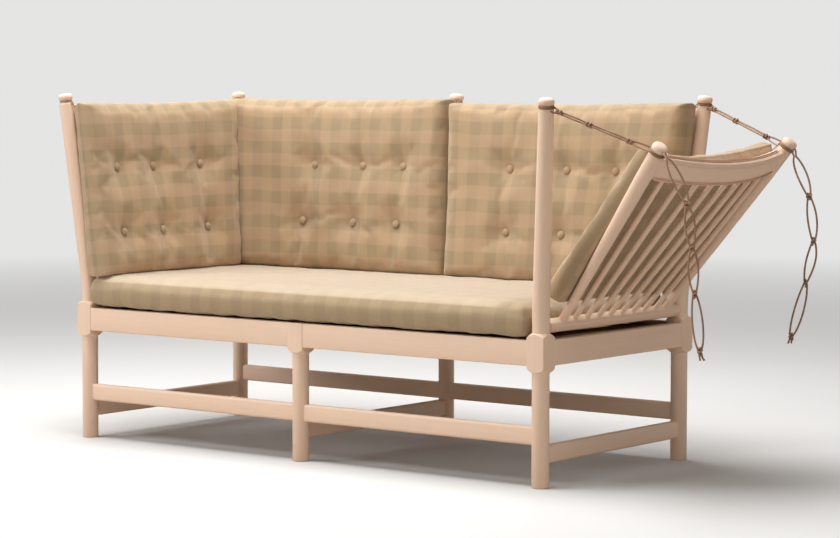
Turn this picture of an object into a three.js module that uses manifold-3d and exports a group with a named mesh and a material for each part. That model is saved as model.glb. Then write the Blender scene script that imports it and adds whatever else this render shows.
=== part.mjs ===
import * as THREE from 'three';
import { mergeVertices } from 'three/addons/utils/BufferGeometryUtils.js';
import Module from 'manifold-3d';

const wasm = await Module();
wasm.setup();

// Spoke-back sofa with a drop arm. Sizes in millimetres, Z up, front towards -Y.

// Overall frame
const legSpan = 1408.5;
const legDepth = 581.55;
const standHeight = 880;
const seatGap = 0.3;

// Legs, posts and their turned knobs
const turnedSides = 16;
const legRadius = 20.1;
const footChamfer = 2;
const blockWidth = 47;
const blockHeight = 60.5;
const shoulderHeight = 14.5;
const shoulderCurveShare = 1.9;
const shoulderStepShares = [1, 0.6, 0];
const bendStart = 370;
const bendLength = 40;
const splayDegrees = 5;
const postTopRadius = 17.6;
const collarHeight = 5;
const neckHeight = 5.5;
const neckRadius = 14;
const knobHeight = 18.5;
const knobRadius = 18.3;
const knobShares = [[0.15, 0.96], [0.5, 1], [0.82, 0.78], [1, 0.28]];

// Seat rails, stretchers and straps
const railHeight = 58;
const railThickness = 24;
const railRecess = 1.5;
const railTop = 334.5;
const railEdge = 2.5;
const stretcherHeight = 42;
const stretcherThickness = 20;
const stretcherEdge = 5;
const longStretcherCentre = 117.5;
const crossStretcherCentre = 75;
const strapWidth = 50;
const strapThickness = 3;
const strapsAcrossBay = 5;
const strapsAlongBay = 2;

// Spoke panels: foot rail, spokes and bowed top rail
const footRailCentre = 365;
const footRailWidth = 30;
const footRailHeight = 27;
const footRailRound = 10;
const topRailDrop = 28;
const topRailHeight = 54;
const topRailThickness = 20;
const topRailRound = 8;
const topRailEdge = 2;
const topRailBow = 37;
const topRailSteps = 12;
const spokeSides = 8;
const spokeEndRadius = 6;
const spokeMiddleRadius = 6.8;
const armSpokes = 11;
const backSpokes = 14;
const dropArmSpokes = 8;

// Drop arm with its pins
const armRestDegrees = 37;
const armEndClearance = 1.9;
const armEndChamfer = 3;
const stileFootDistance = 429.5;
const stileFlareDegrees = 7.331;
const stileRise = 35.5;
const stileFootRadius = 10;
const stileProfileShares = [[0.04, 1], [0.27, 1.13], [0.42, 1.33], [0.555, 1.47], [0.82, 1.73]];
const stileFootSink = 2;
const pinRadius = 5;
const pinClearance = 0.3;
const pinSides = 16;
const pinInPost = 12;
const pinInRail = 20;

// Cushions
const cushionRound = 24;
const cushionCornerPull = 11;
const cornerPullPower = 6;
const sideSwell = 3;
const sideHollow = 3;
const cushionCrown = 7;
const cushionBackCrown = 3;
const edgeShares = [0, 0.3, 1];
const gridStep = 180;
const tuftReach = 26;
const tuftDepth = 17;
const tuftBackDepth = 6;
const seatCushionEndGap = 27;
const seatCushionFrontHang = 30;
const seatCushionThickness = 72;
const seatCushionCrown = 7;
const cushionSettle = 3.2;
const backCushionSettle = 0.6;
const cushionPress = 4;
const cushionTopHollow = 7;
const backCushionThickness = 72;
const backCushionBow = 12;
const backCushionInset = 35.2;
const backCushionReach = { foot: -12, top: 16.2 };
const backSeamFoot = { left: 46, right: 51 };
const backSeamTop = { left: 12, right: 26 };
const backCushionRise = { outerLeft: 10, seamLeft: 14, seamRight: 1, outerRight: 9 };
const backTuftRowShares = [0.28, 0.63];
const backLeftTuftShares = [0.195, 0.404, 0.633];
const backRightTuftShares = [0.248, 0.473, 0.712];
const armCushionThickness = { foot: 77, top: 56 };
const armCushionReach = 20.2;
const armCushionCorner = { foot: 28.8, top: -7.2 };
const armCushionRise = { rear: 7, front: 3 };
const armCushionBow = 9;
const armTuftShares = [0.216, 0.536, 0.823];
const armTuftRowShares = [0.26, 0.625];
const dropCushionThickness = { foot: 60, top: 50 };
const dropCushionGap = 0.7;
const dropCushionLift = 7;
const dropCushionInset = 36.8;
const dropCushionCorner = { foot: 29.8, top: -8.2 };
const dropCushionRise = { front: -13, rear: 3 };
const dropCushionTopHollow = 28;
const dropTuftShares = [0.203, 0.506, 0.81];

// Leather laces
const laceRadius = 2.2;
const cordRadius = 3;
const cordSides = 8;
const knotRadius = 5.4;
const knotLengthShare = 1.3;
const loopSides = 5;
const knotSides = 6;
const knotRings = 4;
const loopSteps = 16;
const stayKnots = [45, 145];
const lastKnot = 245;
const staySteps = 10;
const tailSteps = 24;
const tailLead = 8;
const frontTail = [[38, -17, -13], [87, -17, -110], [101, -17, -203], [108, -17, -302], [122, -17, -425],
  [128, -17, -445]];
const rearTail = [[23, 0, -22], [61, 0, -114], [74, 0, -217], [54, 0, -315], [17, 0, -458]];
const tailKnots = [1, 2, 3];

// Places worked out from the sizes above
const halfSpan = legSpan / 2;
const halfDepth = legDepth / 2;
const blockHalf = blockWidth / 2;
const blockCorner = blockHalf * Math.SQRT2;
const blockBottom = railTop - railHeight + (railHeight - blockHeight) / 2;
const blockTop = blockBottom + blockHeight;
const railOuter = blockHalf - railRecess;
const railInner = railOuter - railThickness;
const railCentre = railTop - railHeight / 2;
const splay = THREE.MathUtils.degToRad(splayDegrees);
const cornerLean = Math.atan(Math.SQRT2 * Math.tan(splay));
const panelCrest = standHeight - topRailDrop - footRailCentre;
const topRailFoot = panelCrest - topRailHeight;
const topRailCentre = topRailFoot + topRailHeight / 2;
const topRailRise = footRailCentre + topRailCentre;
const topRailFlare = (topRailRise - bendStart - bendLength / 2) * Math.tan(splay);
const panelLean = Math.atan(topRailFlare / topRailCentre);
const armLean = THREE.MathUtils.degToRad(armRestDegrees);
const stileLength = panelCrest + stileRise;
const stileSlope = Math.tan(THREE.MathUtils.degToRad(stileFlareDegrees));
const cushionBack = legRadius + seatGap - cushionPress;
const seatCushionFoot = railTop + seatGap + seatCushionCrown;
const cushionFoot = seatCushionFoot + seatCushionThickness - cushionSettle - footRailCentre;

const { lerp } = THREE.MathUtils;
const up = new THREE.Vector3(0, 0, 1);

// Materials
function material(color, roughness, metalness = 0) {
  return new THREE.MeshStandardMaterial({ color, roughness, metalness });
}

const beech = () => material(0xe6c8a8, 0.55);
const checkCloth = () => material(0xb59a74, 0.95);
const strapWeb = () => material(0x6b5138, 0.9);
const leather = () => material(0x8a6248, 0.6);
const steel = () => material(0xb8b8b4, 0.35, 1);

// Turns a closed geometry's faces outwards
function facingOut(geometry) {
  const { array } = geometry.attributes.position;
  const index = geometry.index.array;
  const corners = [new THREE.Vector3(), new THREE.Vector3(), new THREE.Vector3()];
  let volume = 0;
  for (let start = 0; start < index.length; start += 3) {
    corners.forEach((corner, k) => corner.fromArray(array, 3 * index[start + k]));
    volume += corners[0].dot(corners[1].cross(corners[2]));
  }
  if (volume < 0) {
    for (let start = 0; start < index.length; start += 3) {
      [index[start], index[start + 1]] = [index[start + 1], index[start]];
    }
  }
  geometry.computeVertexNormals();
  return geometry;
}

function indexed(points, triangles) {
  const geometry = new THREE.BufferGeometry();
  geometry.setAttribute('position', new THREE.Float32BufferAttribute(points.flatMap((p) => p.toArray()), 3));
  geometry.setIndex(triangles);
  return facingOut(geometry);
}

// Closed skin over a row of rings that have as many points each
function loft(rings) {
  const count = rings[0].length;
  const last = (rings.length - 1) * count;
  const triangles = [];
  for (let row = 0; row < last; row += count) {
    for (let k = 0; k < count; k += 1) {
      const next = (k + 1) % count;
      triangles.push(row + k, row + next, row + count + next);
      triangles.push(row + k, row + count + next, row + count + k);
    }
  }
  for (let k = 1; k + 1 < count; k += 1) {
    triangles.push(0, k + 1, k);
    triangles.push(last, last + k, last + k + 1);
  }
  return indexed(rings.flat(), triangles);
}

// Booleans
function solidOf(geometry, matrix) {
  const bare = geometry.clone();
  bare.deleteAttribute('normal');
  bare.deleteAttribute('uv');
  if (matrix) bare.applyMatrix4(matrix);
  const { attributes, index } = mergeVertices(bare);
  const vertProperties = new Float32Array(attributes.position.array);
  const triVerts = new Uint32Array(index.array);
  return new wasm.Manifold(new wasm.Mesh({ numProp: 3, vertProperties, triVerts }));
}

function geometryOf(solid) {
  const mesh = solid.getMesh();
  const geometry = new THREE.BufferGeometry();
  geometry.setAttribute('position', new THREE.BufferAttribute(mesh.vertProperties, 3));
  geometry.setIndex(new THREE.BufferAttribute(mesh.triVerts, 1));
  geometry.computeVertexNormals();
  return geometry;
}

function cut(geometry, cutters) {
  return geometryOf(cutters.reduce((solid, cutter) => solid.subtract(cutter), solidOf(geometry)));
}

function join(geometries) {
  return geometryOf(geometries.map((geometry) => solidOf(geometry)).reduce((all, next) => all.add(next)));
}

// Pieces are gathered here by name
const sofa = new THREE.Group();

function piece(name, geometry, finish, parent = sofa) {
  const mesh = new THREE.Mesh(geometry, finish);
  mesh.name = name;
  parent.add(mesh);
  return mesh;
}

// Round or squared ring of a turned piece, at a place along its axis
function turnedRing({ centre, tilt }, radius, squareHalf = Infinity) {
  return Array.from({ length: turnedSides }, (_, k) => {
    const angle = (2 * Math.PI * k) / turnedSides;
    const flat = squareHalf / Math.max(Math.abs(Math.cos(angle)), Math.abs(Math.sin(angle)));
    const reach = Math.min(radius, flat);
    const spot = new THREE.Vector3(reach * Math.cos(angle), reach * Math.sin(angle), 0);
    return spot.applyQuaternion(tilt).add(centre);
  });
}

// Collar, neck and knob that end every post and stile
function knobStations(length, shaftRadius) {
  const neckFoot = length - knobHeight - neckHeight;
  const collarFoot = neckFoot - collarHeight;
  return [
    [collarFoot, shaftRadius],
    [neckFoot, neckRadius],
    [neckFoot + neckHeight, neckRadius],
    ...knobShares.map(([rise, reach]) => [neckFoot + neckHeight + rise * knobHeight, reach * knobRadius]),
  ];
}

// Legs: x, y and the way that each post leans
const legs = {
  leg_front_left: { x: -halfSpan, y: -halfDepth, way: [-1, -1] },
  leg_front_middle: { x: 0, y: -halfDepth },
  leg_front_right: { x: halfSpan, y: -halfDepth, way: [1, -1] },
  leg_rear_left: { x: -halfSpan, y: halfDepth, way: [-1, 1] },
  leg_rear_middle: { x: 0, y: halfDepth, way: [0, 1] },
  leg_rear_right: { x: halfSpan, y: halfDepth, way: [1, 1] },
};

function leanOf(leg) {
  return leg.way[0] === 0 ? splay : cornerLean;
}

// Length along a post's bent axis at which it reaches the standing height
function postLength(leg) {
  const lean = leanOf(leg);
  const straightRise = standHeight - bendStart - (bendLength / lean) * Math.sin(lean);
  return bendStart + bendLength + straightRise / Math.cos(lean);
}

// Place and tilt of a post's axis at a distance along it
function postFrame(leg, along) {
  if (!leg.way) return { centre: new THREE.Vector3(leg.x, leg.y, along), tilt: new THREE.Quaternion() };
  const lean = leanOf(leg);
  const bendRadius = bendLength / lean;
  const turn = lean * THREE.MathUtils.clamp((along - bendStart) / bendLength, 0, 1);
  const past = Math.max(along - bendStart - bendLength, 0);
  const out = bendRadius * (1 - Math.cos(turn)) + past * Math.sin(turn);
  const rise = Math.min(along, bendStart) + bendRadius * Math.sin(turn) + past * Math.cos(turn);
  const way = new THREE.Vector3(...leg.way, 0).normalize();
  const tilt = new THREE.Quaternion().setFromAxisAngle(up.clone().cross(way), turn);
  return { centre: new THREE.Vector3(leg.x, leg.y, rise).addScaledVector(way, out), tilt };
}

function shoulderStations(edge, sign) {
  return shoulderStepShares.map((share) => {
    const reach = 1 - share ** shoulderCurveShare;
    return [edge + sign * share * shoulderHeight, lerp(legRadius, blockCorner, reach), blockHalf];
  });
}

function postStations(leg) {
  const length = postLength(leg);
  const [collar, ...knob] = knobStations(length, postTopRadius);
  return [
    ...shoulderStations(blockTop, 1).reverse(),
    [bendStart, legRadius],
    [bendStart + bendLength / 2, legRadius],
    [bendStart + bendLength, legRadius],
    collar,
    ...knob,
  ];
}

function legGeometry(leg, grow = 0) {
  const stations = [
    [0, legRadius - footChamfer],
    [footChamfer, legRadius],
    ...shoulderStations(blockBottom, -1),
    ...(leg.way ? postStations(leg) : [[railTop, blockCorner, blockHalf]]),
  ];
  return loft(stations.map(([along, radius, squareHalf]) => (
    turnedRing(postFrame(leg, along), radius + grow, squareHalf && squareHalf + grow)
  )));
}

// Blind hole in a post for the drop arm's pin
function pinHole(leg) {
  const depth = pinInPost + pinClearance + legRadius;
  const radius = pinRadius + pinClearance;
  const hole = new THREE.CylinderGeometry(radius, radius, depth, pinSides);
  const inward = -Math.sign(leg.y);
  const middle = leg.y + inward * (legRadius - pinInPost - pinClearance + depth / 2);
  return solidOf(hole, new THREE.Matrix4().makeTranslation(leg.x, middle, footRailCentre));
}

function addLegs() {
  const drilled = [legs.leg_front_right, legs.leg_rear_right];
  Object.entries(legs).forEach(([name, leg]) => {
    const holes = drilled.includes(leg) ? [pinHole(leg)] : [];
    piece(name, cut(legGeometry(leg), holes), beech());
  });
}

// Outline with eased corners, as wide and as high as given
function easedOutline(width, height, ease, cornerSteps = 1) {
  const outline = [];
  [[1, 1], [-1, 1], [-1, -1], [1, -1]].forEach(([sx, sy], corner) => {
    for (let k = 0; k <= cornerSteps; k += 1) {
      const angle = ((corner + k / cornerSteps) * Math.PI) / 2;
      const x = sx * (width / 2 - ease) + ease * Math.cos(angle);
      outline.push(new THREE.Vector2(x, sy * (height / 2 - ease) + ease * Math.sin(angle)));
    }
  });
  return outline;
}

// Straight bar of an outline, along Y or along X
function bar(outline, length, alongX) {
  const shape = new THREE.Shape(outline);
  const geometry = new THREE.ExtrudeGeometry(shape, { depth: length, bevelEnabled: false });
  geometry.translate(0, 0, -length / 2);
  geometry.rotateX(Math.PI / 2);
  if (alongX) geometry.rotateZ(Math.PI / 2);
  return geometry;
}

// Seat rails butt between the blocks of the legs
function addRails() {
  const outline = easedOutline(railThickness, railHeight, railEdge);
  const offset = halfDepth + railOuter - railThickness / 2;
  const bayLength = halfSpan - blockWidth - 2 * seatGap;
  const sideLength = legDepth - blockWidth - 2 * seatGap;
  [['front', -1], ['back', 1]].forEach(([row, front]) => {
    [['left', -1], ['right', 1]].forEach(([side, end]) => {
      const rail = piece(`seat_rail_${row}_${side}`, bar(outline, bayLength, true), beech());
      rail.position.set((end * halfSpan) / 2, front * offset, railCentre);
    });
  });
  const sideOffset = halfSpan + railOuter - railThickness / 2;
  [['left', -1], ['middle', 0], ['right', 1]].forEach(([side, end]) => {
    const rail = piece(`seat_rail_side_${side}`, bar(outline, sideLength, false), beech());
    rail.position.set(end * sideOffset, 0, railCentre);
  });
}

// Stretchers are coped round the turned legs
function stretcher(length, alongX) {
  const outline = easedOutline(stretcherThickness, stretcherHeight, stretcherEdge, 2);
  const radius = legRadius + seatGap;
  const round = new THREE.CylinderGeometry(radius, radius, 2 * stretcherHeight, turnedSides);
  round.rotateX(Math.PI / 2);
  const cutters = [-1, 1].map((end) => {
    const reach = (end * length) / 2;
    return solidOf(round, new THREE.Matrix4().makeTranslation(alongX ? reach : 0, alongX ? 0 : reach, 0));
  });
  return cut(bar(outline, length, alongX), cutters);
}

function addStretchers() {
  [['front', -1], ['back', 1]].forEach(([row, front]) => {
    [['left', -1], ['right', 1]].forEach(([side, end]) => {
      const board = piece(`stretcher_${row}_${side}`, stretcher(halfSpan, true), beech());
      board.position.set((end * halfSpan) / 2, front * halfDepth, longStretcherCentre);
    });
  });
  [['left', -1], ['middle', 0], ['right', 1]].forEach(([side, end]) => {
    const board = piece(`stretcher_side_${side}`, stretcher(legDepth, false), beech());
    board.position.set(end * halfSpan, 0, crossStretcherCentre);
  });
}

// Crossed straps in one bay, level with the tops of the rails
function strapNet(width, depth) {
  const strips = [];
  for (let k = 0; k < strapsAcrossBay; k += 1) {
    const strip = new THREE.BoxGeometry(strapWidth, depth, strapThickness);
    strips.push(strip.translate(width * ((k + 1 / 2) / strapsAcrossBay - 1 / 2), 0, 0));
  }
  for (let k = 0; k < strapsAlongBay; k += 1) {
    const strip = new THREE.BoxGeometry(width, strapWidth, strapThickness);
    strips.push(strip.translate(0, depth * ((k + 1 / 2) / strapsAlongBay - 1 / 2), 0));
  }
  return join(strips);
}

function addStraps() {
  const inner = railThickness / 2 + seatGap;
  const outer = halfSpan + railInner - seatGap;
  const depth = 2 * (halfDepth + railInner - seatGap);
  [['left', -1], ['right', 1]].forEach(([side, end]) => {
    const net = piece(`seat_straps_${side}`, strapNet(outer - inner, depth), strapWeb());
    net.position.set((end * (outer + inner)) / 2, 0, railTop - strapThickness / 2);
  });
}

// Spoke panels. In a panel's own frame X points outwards, Y runs along it and Z up it.
function panelGroup(x, y, yaw, lean) {
  const group = new THREE.Group();
  group.position.set(x, y, footRailCentre);
  group.rotation.set(0, lean, yaw, 'ZYX');
  group.updateMatrix();
  sofa.add(group);
  return group;
}

function backPanel(side, flare) {
  const group = panelGroup((side * halfSpan) / 2, halfDepth, Math.PI / 2, panelLean);
  return { group, half: halfSpan / 2, flare };
}

const panels = {
  armLeft: { group: panelGroup(-halfSpan, 0, Math.PI, panelLean), half: halfDepth, flare: [1, 1] },
  backLeft: backPanel(-1, [0, 1]),
  backRight: backPanel(1, [1, 0]),
  dropArm: { group: panelGroup(halfSpan, 0, 0, armLean), half: stileFootDistance / 2 },
};

// Ends of a panel's top rail, on the axes of its posts or stiles
function topEnds(panel) {
  if (!panel.flare) {
    const reach = panel.half + topRailCentre * stileSlope;
    return [-reach, reach];
  }
  return [-panel.half - panel.flare[0] * topRailFlare, panel.half + panel.flare[1] * topRailFlare];
}

function bowAt(share) {
  return topRailBow * (1 - (2 * share - 1) ** 2);
}

function footRail(half, chamfer = 0) {
  const ring = (y, ease) => {
    const [width, height] = [footRailWidth - 2 * ease, footRailHeight - 2 * ease];
    return easedOutline(width, height, footRailRound - ease, 2).map((p) => new THREE.Vector3(p.x, y, p.y));
  };
  const ends = chamfer ? [ring(-half, chamfer), ring(half, chamfer)] : [];
  const body = [ring(chamfer - half, 0), ring(half - chamfer, 0)];
  return loft(chamfer ? [ends[0], ...body, ends[1]] : body);
}

// Section of a top rail: flat below, rounded above
function topRailOutline() {
  const side = topRailThickness / 2;
  const slope = topRailRound * (1 - Math.SQRT1_2);
  const right = [
    [side - topRailEdge, topRailFoot],
    [side, topRailFoot + topRailEdge],
    [side, panelCrest - topRailRound],
    [side - slope, panelCrest - slope],
    [side - topRailRound, panelCrest],
  ];
  return [...right, ...right.map(([x, z]) => [-x, z]).reverse()];
}

function topRail(panel) {
  const [from, to] = topEnds(panel);
  const rings = [];
  for (let step = 0; step <= topRailSteps; step += 1) {
    const share = step / topRailSteps;
    const slope = (-4 * topRailBow * (2 * share - 1)) / (to - from);
    const turn = Math.atan(slope);
    rings.push(topRailOutline().map(([x, z]) => new THREE.Vector3(
      bowAt(share) + x * Math.cos(turn),
      lerp(from, to, share) - x * Math.sin(turn),
      z,
    )));
  }
  return loft(rings);
}

// Spoke from the foot rail to just under the top rail
function spoke(panel, share, foot) {
  const [from, to] = topEnds(panel);
  const head = topRailFoot - seatGap;
  const start = new THREE.Vector3(0, lerp(-panel.half, panel.half, share), 0);
  const end = new THREE.Vector3(bowAt(share), lerp(from, to, share), topRailFoot);
  const ring = (z, radius) => {
    const centre = start.clone().lerp(end, z / topRailFoot);
    return Array.from({ length: spokeSides }, (_, k) => {
      const angle = (2 * Math.PI * (k + 1 / 2)) / spokeSides;
      return new THREE.Vector3(radius * Math.cos(angle), radius * Math.sin(angle), 0).add(centre);
    });
  };
  const stations = [[foot, spokeEndRadius], [(foot + head) / 2, spokeMiddleRadius], [head, spokeEndRadius]];
  return loft(stations.map(([z, radius]) => ring(z, radius)));
}

function spokeShares(count) {
  return Array.from({ length: count }, (_, k) => (k + 1) / (count + 1));
}

// Legs and posts with their clearance, in a panel's own frame
function postsIn(panel) {
  const toPanel = panel.group.matrix.clone().invert();
  return Object.values(legs).map((leg) => solidOf(legGeometry(leg, seatGap), toPanel));
}

// Fixed panel: a comb of foot rail and spokes, and a top rail, both coped round the posts
function addFixedPanel(panel, name, count) {
  const posts = postsIn(panel);
  const spokes = spokeShares(count).map((share) => spoke(panel, share, 0));
  const comb = cut(join([footRail(panel.half - footRailWidth / 2 - seatGap), ...spokes]), posts);
  piece(`spoke_comb_${name}`, comb, beech(), panel.group);
  piece(`top_rail_${name}`, cut(topRail(panel), posts), beech(), panel.group);
}

function addFixedPanels() {
  addFixedPanel(panels.armLeft, 'arm_left', armSpokes);
  addFixedPanel(panels.backLeft, 'back_left', backSpokes);
  addFixedPanel(panels.backRight, 'back_right', backSpokes);
}

// Stile of the drop arm, leaning out along the arm
function stileFrame(end, along) {
  const way = new THREE.Vector3(0, end * stileSlope, 1).normalize();
  const centre = new THREE.Vector3(0, (end * stileFootDistance) / 2, 0).addScaledVector(way, along);
  return { centre, tilt: new THREE.Quaternion().setFromUnitVectors(up, way) };
}

function stile(end, grow = 0) {
  const shaft = stileProfileShares.map(([rise, reach]) => [rise * stileLength, reach * stileFootRadius]);
  const foot = [footRailHeight / 2 - stileFootSink, stileFootRadius];
  const topRadius = shaft.at(-1)[1];
  const stations = [foot, ...shaft, ...knobStations(stileLength, topRadius)];
  return loft(stations.map(([along, radius]) => turnedRing(stileFrame(end, along), radius + grow)));
}

function grownStiles() {
  return [-1, 1].map((end) => solidOf(stile(end, seatGap)));
}

function addDropArm() {
  const { group } = panels.dropArm;
  const railHalf = halfDepth - legRadius - armEndClearance;
  const holeRadius = pinRadius + pinClearance;
  const holeDepth = pinInRail + pinClearance;
  const hole = new THREE.CylinderGeometry(holeRadius, holeRadius, 2 * holeDepth, pinSides);
  const placed = (end) => new THREE.Matrix4().makeTranslation(0, end * railHalf, 0);
  const holes = [-1, 1].map((end) => solidOf(hole, placed(end)));
  piece('drop_arm_foot_rail', cut(footRail(railHalf, armEndChamfer), holes), beech(), group);
  const seat = solidOf(footRail(railHalf), new THREE.Matrix4().makeTranslation(0, 0, seatGap));
  const ends = [['front', -1], ['rear', 1]];
  ends.forEach(([side, end]) => piece(`drop_arm_stile_${side}`, cut(stile(end), [seat]), beech(), group));
  piece('drop_arm_top_rail', cut(topRail(panels.dropArm), grownStiles()), beech(), group);
  spokeShares(dropArmSpokes).forEach((share, k) => {
    const rod = spoke(panels.dropArm, share, footRailHeight / 2 + seatGap);
    piece(`drop_arm_spoke_${k + 1}`, rod, beech(), group);
  });
}

// Steel pins from the right-hand posts into the drop arm's foot rail
function addPins() {
  const length = pinInPost + armEndClearance + pinInRail;
  [['front', -1], ['rear', 1]].forEach(([side, end]) => {
    const rod = new THREE.CylinderGeometry(pinRadius, pinRadius, length, pinSides);
    const pin = piece(`hinge_pin_${side}`, rod, steel());
    pin.position.set(halfSpan, end * (halfDepth - legRadius + pinInPost - length / 2), footRailCentre);
  });
}

// Grid lines over a cushion, closer at its edges and at its tufts
function gridLines(length, marks) {
  const edges = edgeShares.map((share) => 1 - (2 * share * cushionRound) / length);
  const reach = (2 * tuftReach) / length;
  const tufts = marks.flatMap((mark) => [mark - reach, mark, mark + reach]);
  const lines = [...edges, ...edges.map((line) => -line), ...tufts].sort((p, q) => p - q);
  const filled = [lines[0]];
  lines.slice(1).forEach((line) => {
    const before = filled.at(-1);
    const extra = Math.floor(((line - before) * length) / (2 * gridStep));
    for (let k = 1; k <= extra; k += 1) filled.push(lerp(before, line, k / (extra + 1)));
    filled.push(line);
  });
  return filled;
}

// Stuffed cushion with rounded edges, a crown, drawn-in sides and button tufts.
// Its back lies towards X, its length runs along Y and its height along Z.
function cushion({ back, thickness, foot, top, feet, tops, ...shape }) {
  const { crown = cushionCrown, backCrown = cushionBackCrown, topHollow = cushionTopHollow } = shape;
  const { columnShares = [], rowShares = [], bow = 0 } = shape;
  const length = (foot[1] - foot[0] + top[1] - top[0]) / 2;
  const height = (tops[0] + tops[1] - feet[0] - feet[1]) / 2;
  const columnMarks = columnShares.map((share) => 2 * share - 1);
  const rowMarks = rowShares.map((share) => 2 * share - 1);
  const across = gridLines(length, columnMarks);
  const upward = gridLines(height, rowMarks);
  const rounding = (share, size) => {
    const reach = ((1 - Math.abs(share)) * size) / (2 * cushionRound);
    return reach < 1 ? Math.sqrt(1 - (1 - reach) ** 2) : 1;
  };
  const tuft = (a, b) => columnMarks.reduce((deep, column) => rowMarks.reduce((sum, row) => {
    const far = Math.hypot(((a - column) * length) / 2, ((b - row) * height) / 2);
    return sum + Math.exp(-((far / tuftReach) ** 2));
  }, deep), 0);
  const point = (a, b, side) => {
    const alongShare = (a + 1) / 2;
    const riseShare = (b + 1) / 2;
    const pull = cushionCornerPull * (Math.abs(a) * Math.abs(b)) ** cornerPullPower;
    const hollow = b > 0 ? topHollow : sideHollow;
    const y = lerp(lerp(foot[0], foot[1], alongShare), lerp(top[0], top[1], alongShare), riseShare);
    const z = lerp(lerp(feet[0], feet[1], alongShare), lerp(tops[0], tops[1], alongShare), riseShare);
    const thick = lerp(thickness.foot, thickness.top, riseShare);
    const swell = (1 - a ** 4) * (1 - b ** 4) * (side < 0 ? crown : backCrown);
    const dip = tuft(a, b) * (side < 0 ? tuftDepth : tuftBackDepth);
    const edge = thick / 2 - cushionRound + cushionRound * rounding(a, length) * rounding(b, height);
    return new THREE.Vector3(
      -back - thick / 2 + side * (edge + swell - dip) + bow * (1 - a * a) * riseShare,
      y - a * sideHollow * (1 - b * b) - Math.sign(a) * pull,
      z - b * hollow * (1 - a * a) - Math.sign(b) * pull,
    );
  };
  const points = [-1, 1].flatMap((side) => upward.flatMap((b) => across.map((a) => point(a, b, side))));
  const wide = across.length;
  const high = upward.length;
  const layer = wide * high;
  const triangles = [];
  for (let j = 0; j + 1 < high; j += 1) {
    for (let i = 0; i + 1 < wide; i += 1) {
      const [p, q, r, s] = [j * wide + i, j * wide + i + 1, (j + 1) * wide + i + 1, (j + 1) * wide + i];
      triangles.push(p, r, q, p, s, r);
      triangles.push(layer + p, layer + q, layer + r, layer + p, layer + r, layer + s);
    }
  }
  const rim = [];
  for (let i = 0; i + 1 < wide; i += 1) rim.push([i, 0, -1]);
  for (let j = 0; j + 1 < high; j += 1) rim.push([wide - 1 + j * wide, 1, 0]);
  for (let i = wide - 1; i > 0; i -= 1) rim.push([(high - 1) * wide + i, 0, 1]);
  for (let j = high - 1; j > 0; j -= 1) rim.push([j * wide, -1, 0]);
  const ring = points.length;
  rim.forEach(([k, sy, sz]) => {
    const centre = points[k].clone().lerp(points[layer + k], 1 / 2);
    points.push(centre.add(new THREE.Vector3(0, sy * sideSwell, sz * sideSwell)));
  });
  rim.forEach(([f0], k) => {
    const next = (k + 1) % rim.length;
    const [f1] = rim[next];
    const [m0, m1] = [ring + k, ring + next];
    triangles.push(f0, f1, m1, f0, m1, m0, m0, m1, layer + f1, m0, layer + f1, layer + f0);
  });
  return indexed(points, triangles);
}

function addSeatCushion() {
  const length = legSpan - 2 * seatCushionEndGap;
  const front = -halfDepth - seatCushionFrontHang;
  const rear = halfDepth - seatCushionEndGap;
  const half = length / 2;
  const shape = cushion({
    back: 0,
    thickness: { foot: seatCushionThickness, top: seatCushionThickness },
    foot: [-half, half],
    top: [-half, half],
    feet: [front, front],
    tops: [rear, rear],
    crown: seatCushionCrown,
    backCrown: seatCushionCrown,
  });
  const pad = piece('cushion_seat', shape, checkCloth());
  const [right, rearward] = [new THREE.Vector3(1, 0, 0), new THREE.Vector3(0, 1, 0)];
  const turn = new THREE.Matrix4().makeBasis(up.clone().negate(), right.negate(), rearward);
  pad.quaternion.setFromRotationMatrix(turn);
  pad.position.z = seatCushionFoot;
}

// Back cushions stand on the seat cushion, against the middle post
function addBackCushion(name, panel, { foot, top, rise, columnShares }) {
  const along = (x) => panel.group.position.x - x;
  const shape = cushion({
    back: cushionBack,
    thickness: { foot: backCushionThickness, top: backCushionThickness },
    foot: foot.map(along),
    top: top.map(along),
    feet: foot.map(() => cushionFoot - backCushionSettle),
    tops: rise.map((height) => panelCrest + height),
    columnShares,
    rowShares: backTuftRowShares,
    bow: backCushionBow,
  });
  piece(`cushion_back_${name}`, cut(shape, postsIn(panel)), checkCloth(), panel.group);
}

function addBackCushions() {
  const left = backCushionInset - halfSpan;
  const { foot, top } = backCushionReach;
  addBackCushion('left', panels.backLeft, {
    foot: [backSeamFoot.left, left],
    top: [backSeamTop.left, left],
    rise: [backCushionRise.seamLeft, backCushionRise.outerLeft],
    columnShares: backLeftTuftShares,
  });
  addBackCushion('right', panels.backRight, {
    foot: [halfSpan + foot, backSeamFoot.right],
    top: [halfSpan + top, backSeamTop.right],
    rise: [backCushionRise.outerRight, backCushionRise.seamRight],
    columnShares: backRightTuftShares,
  });
}

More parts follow.
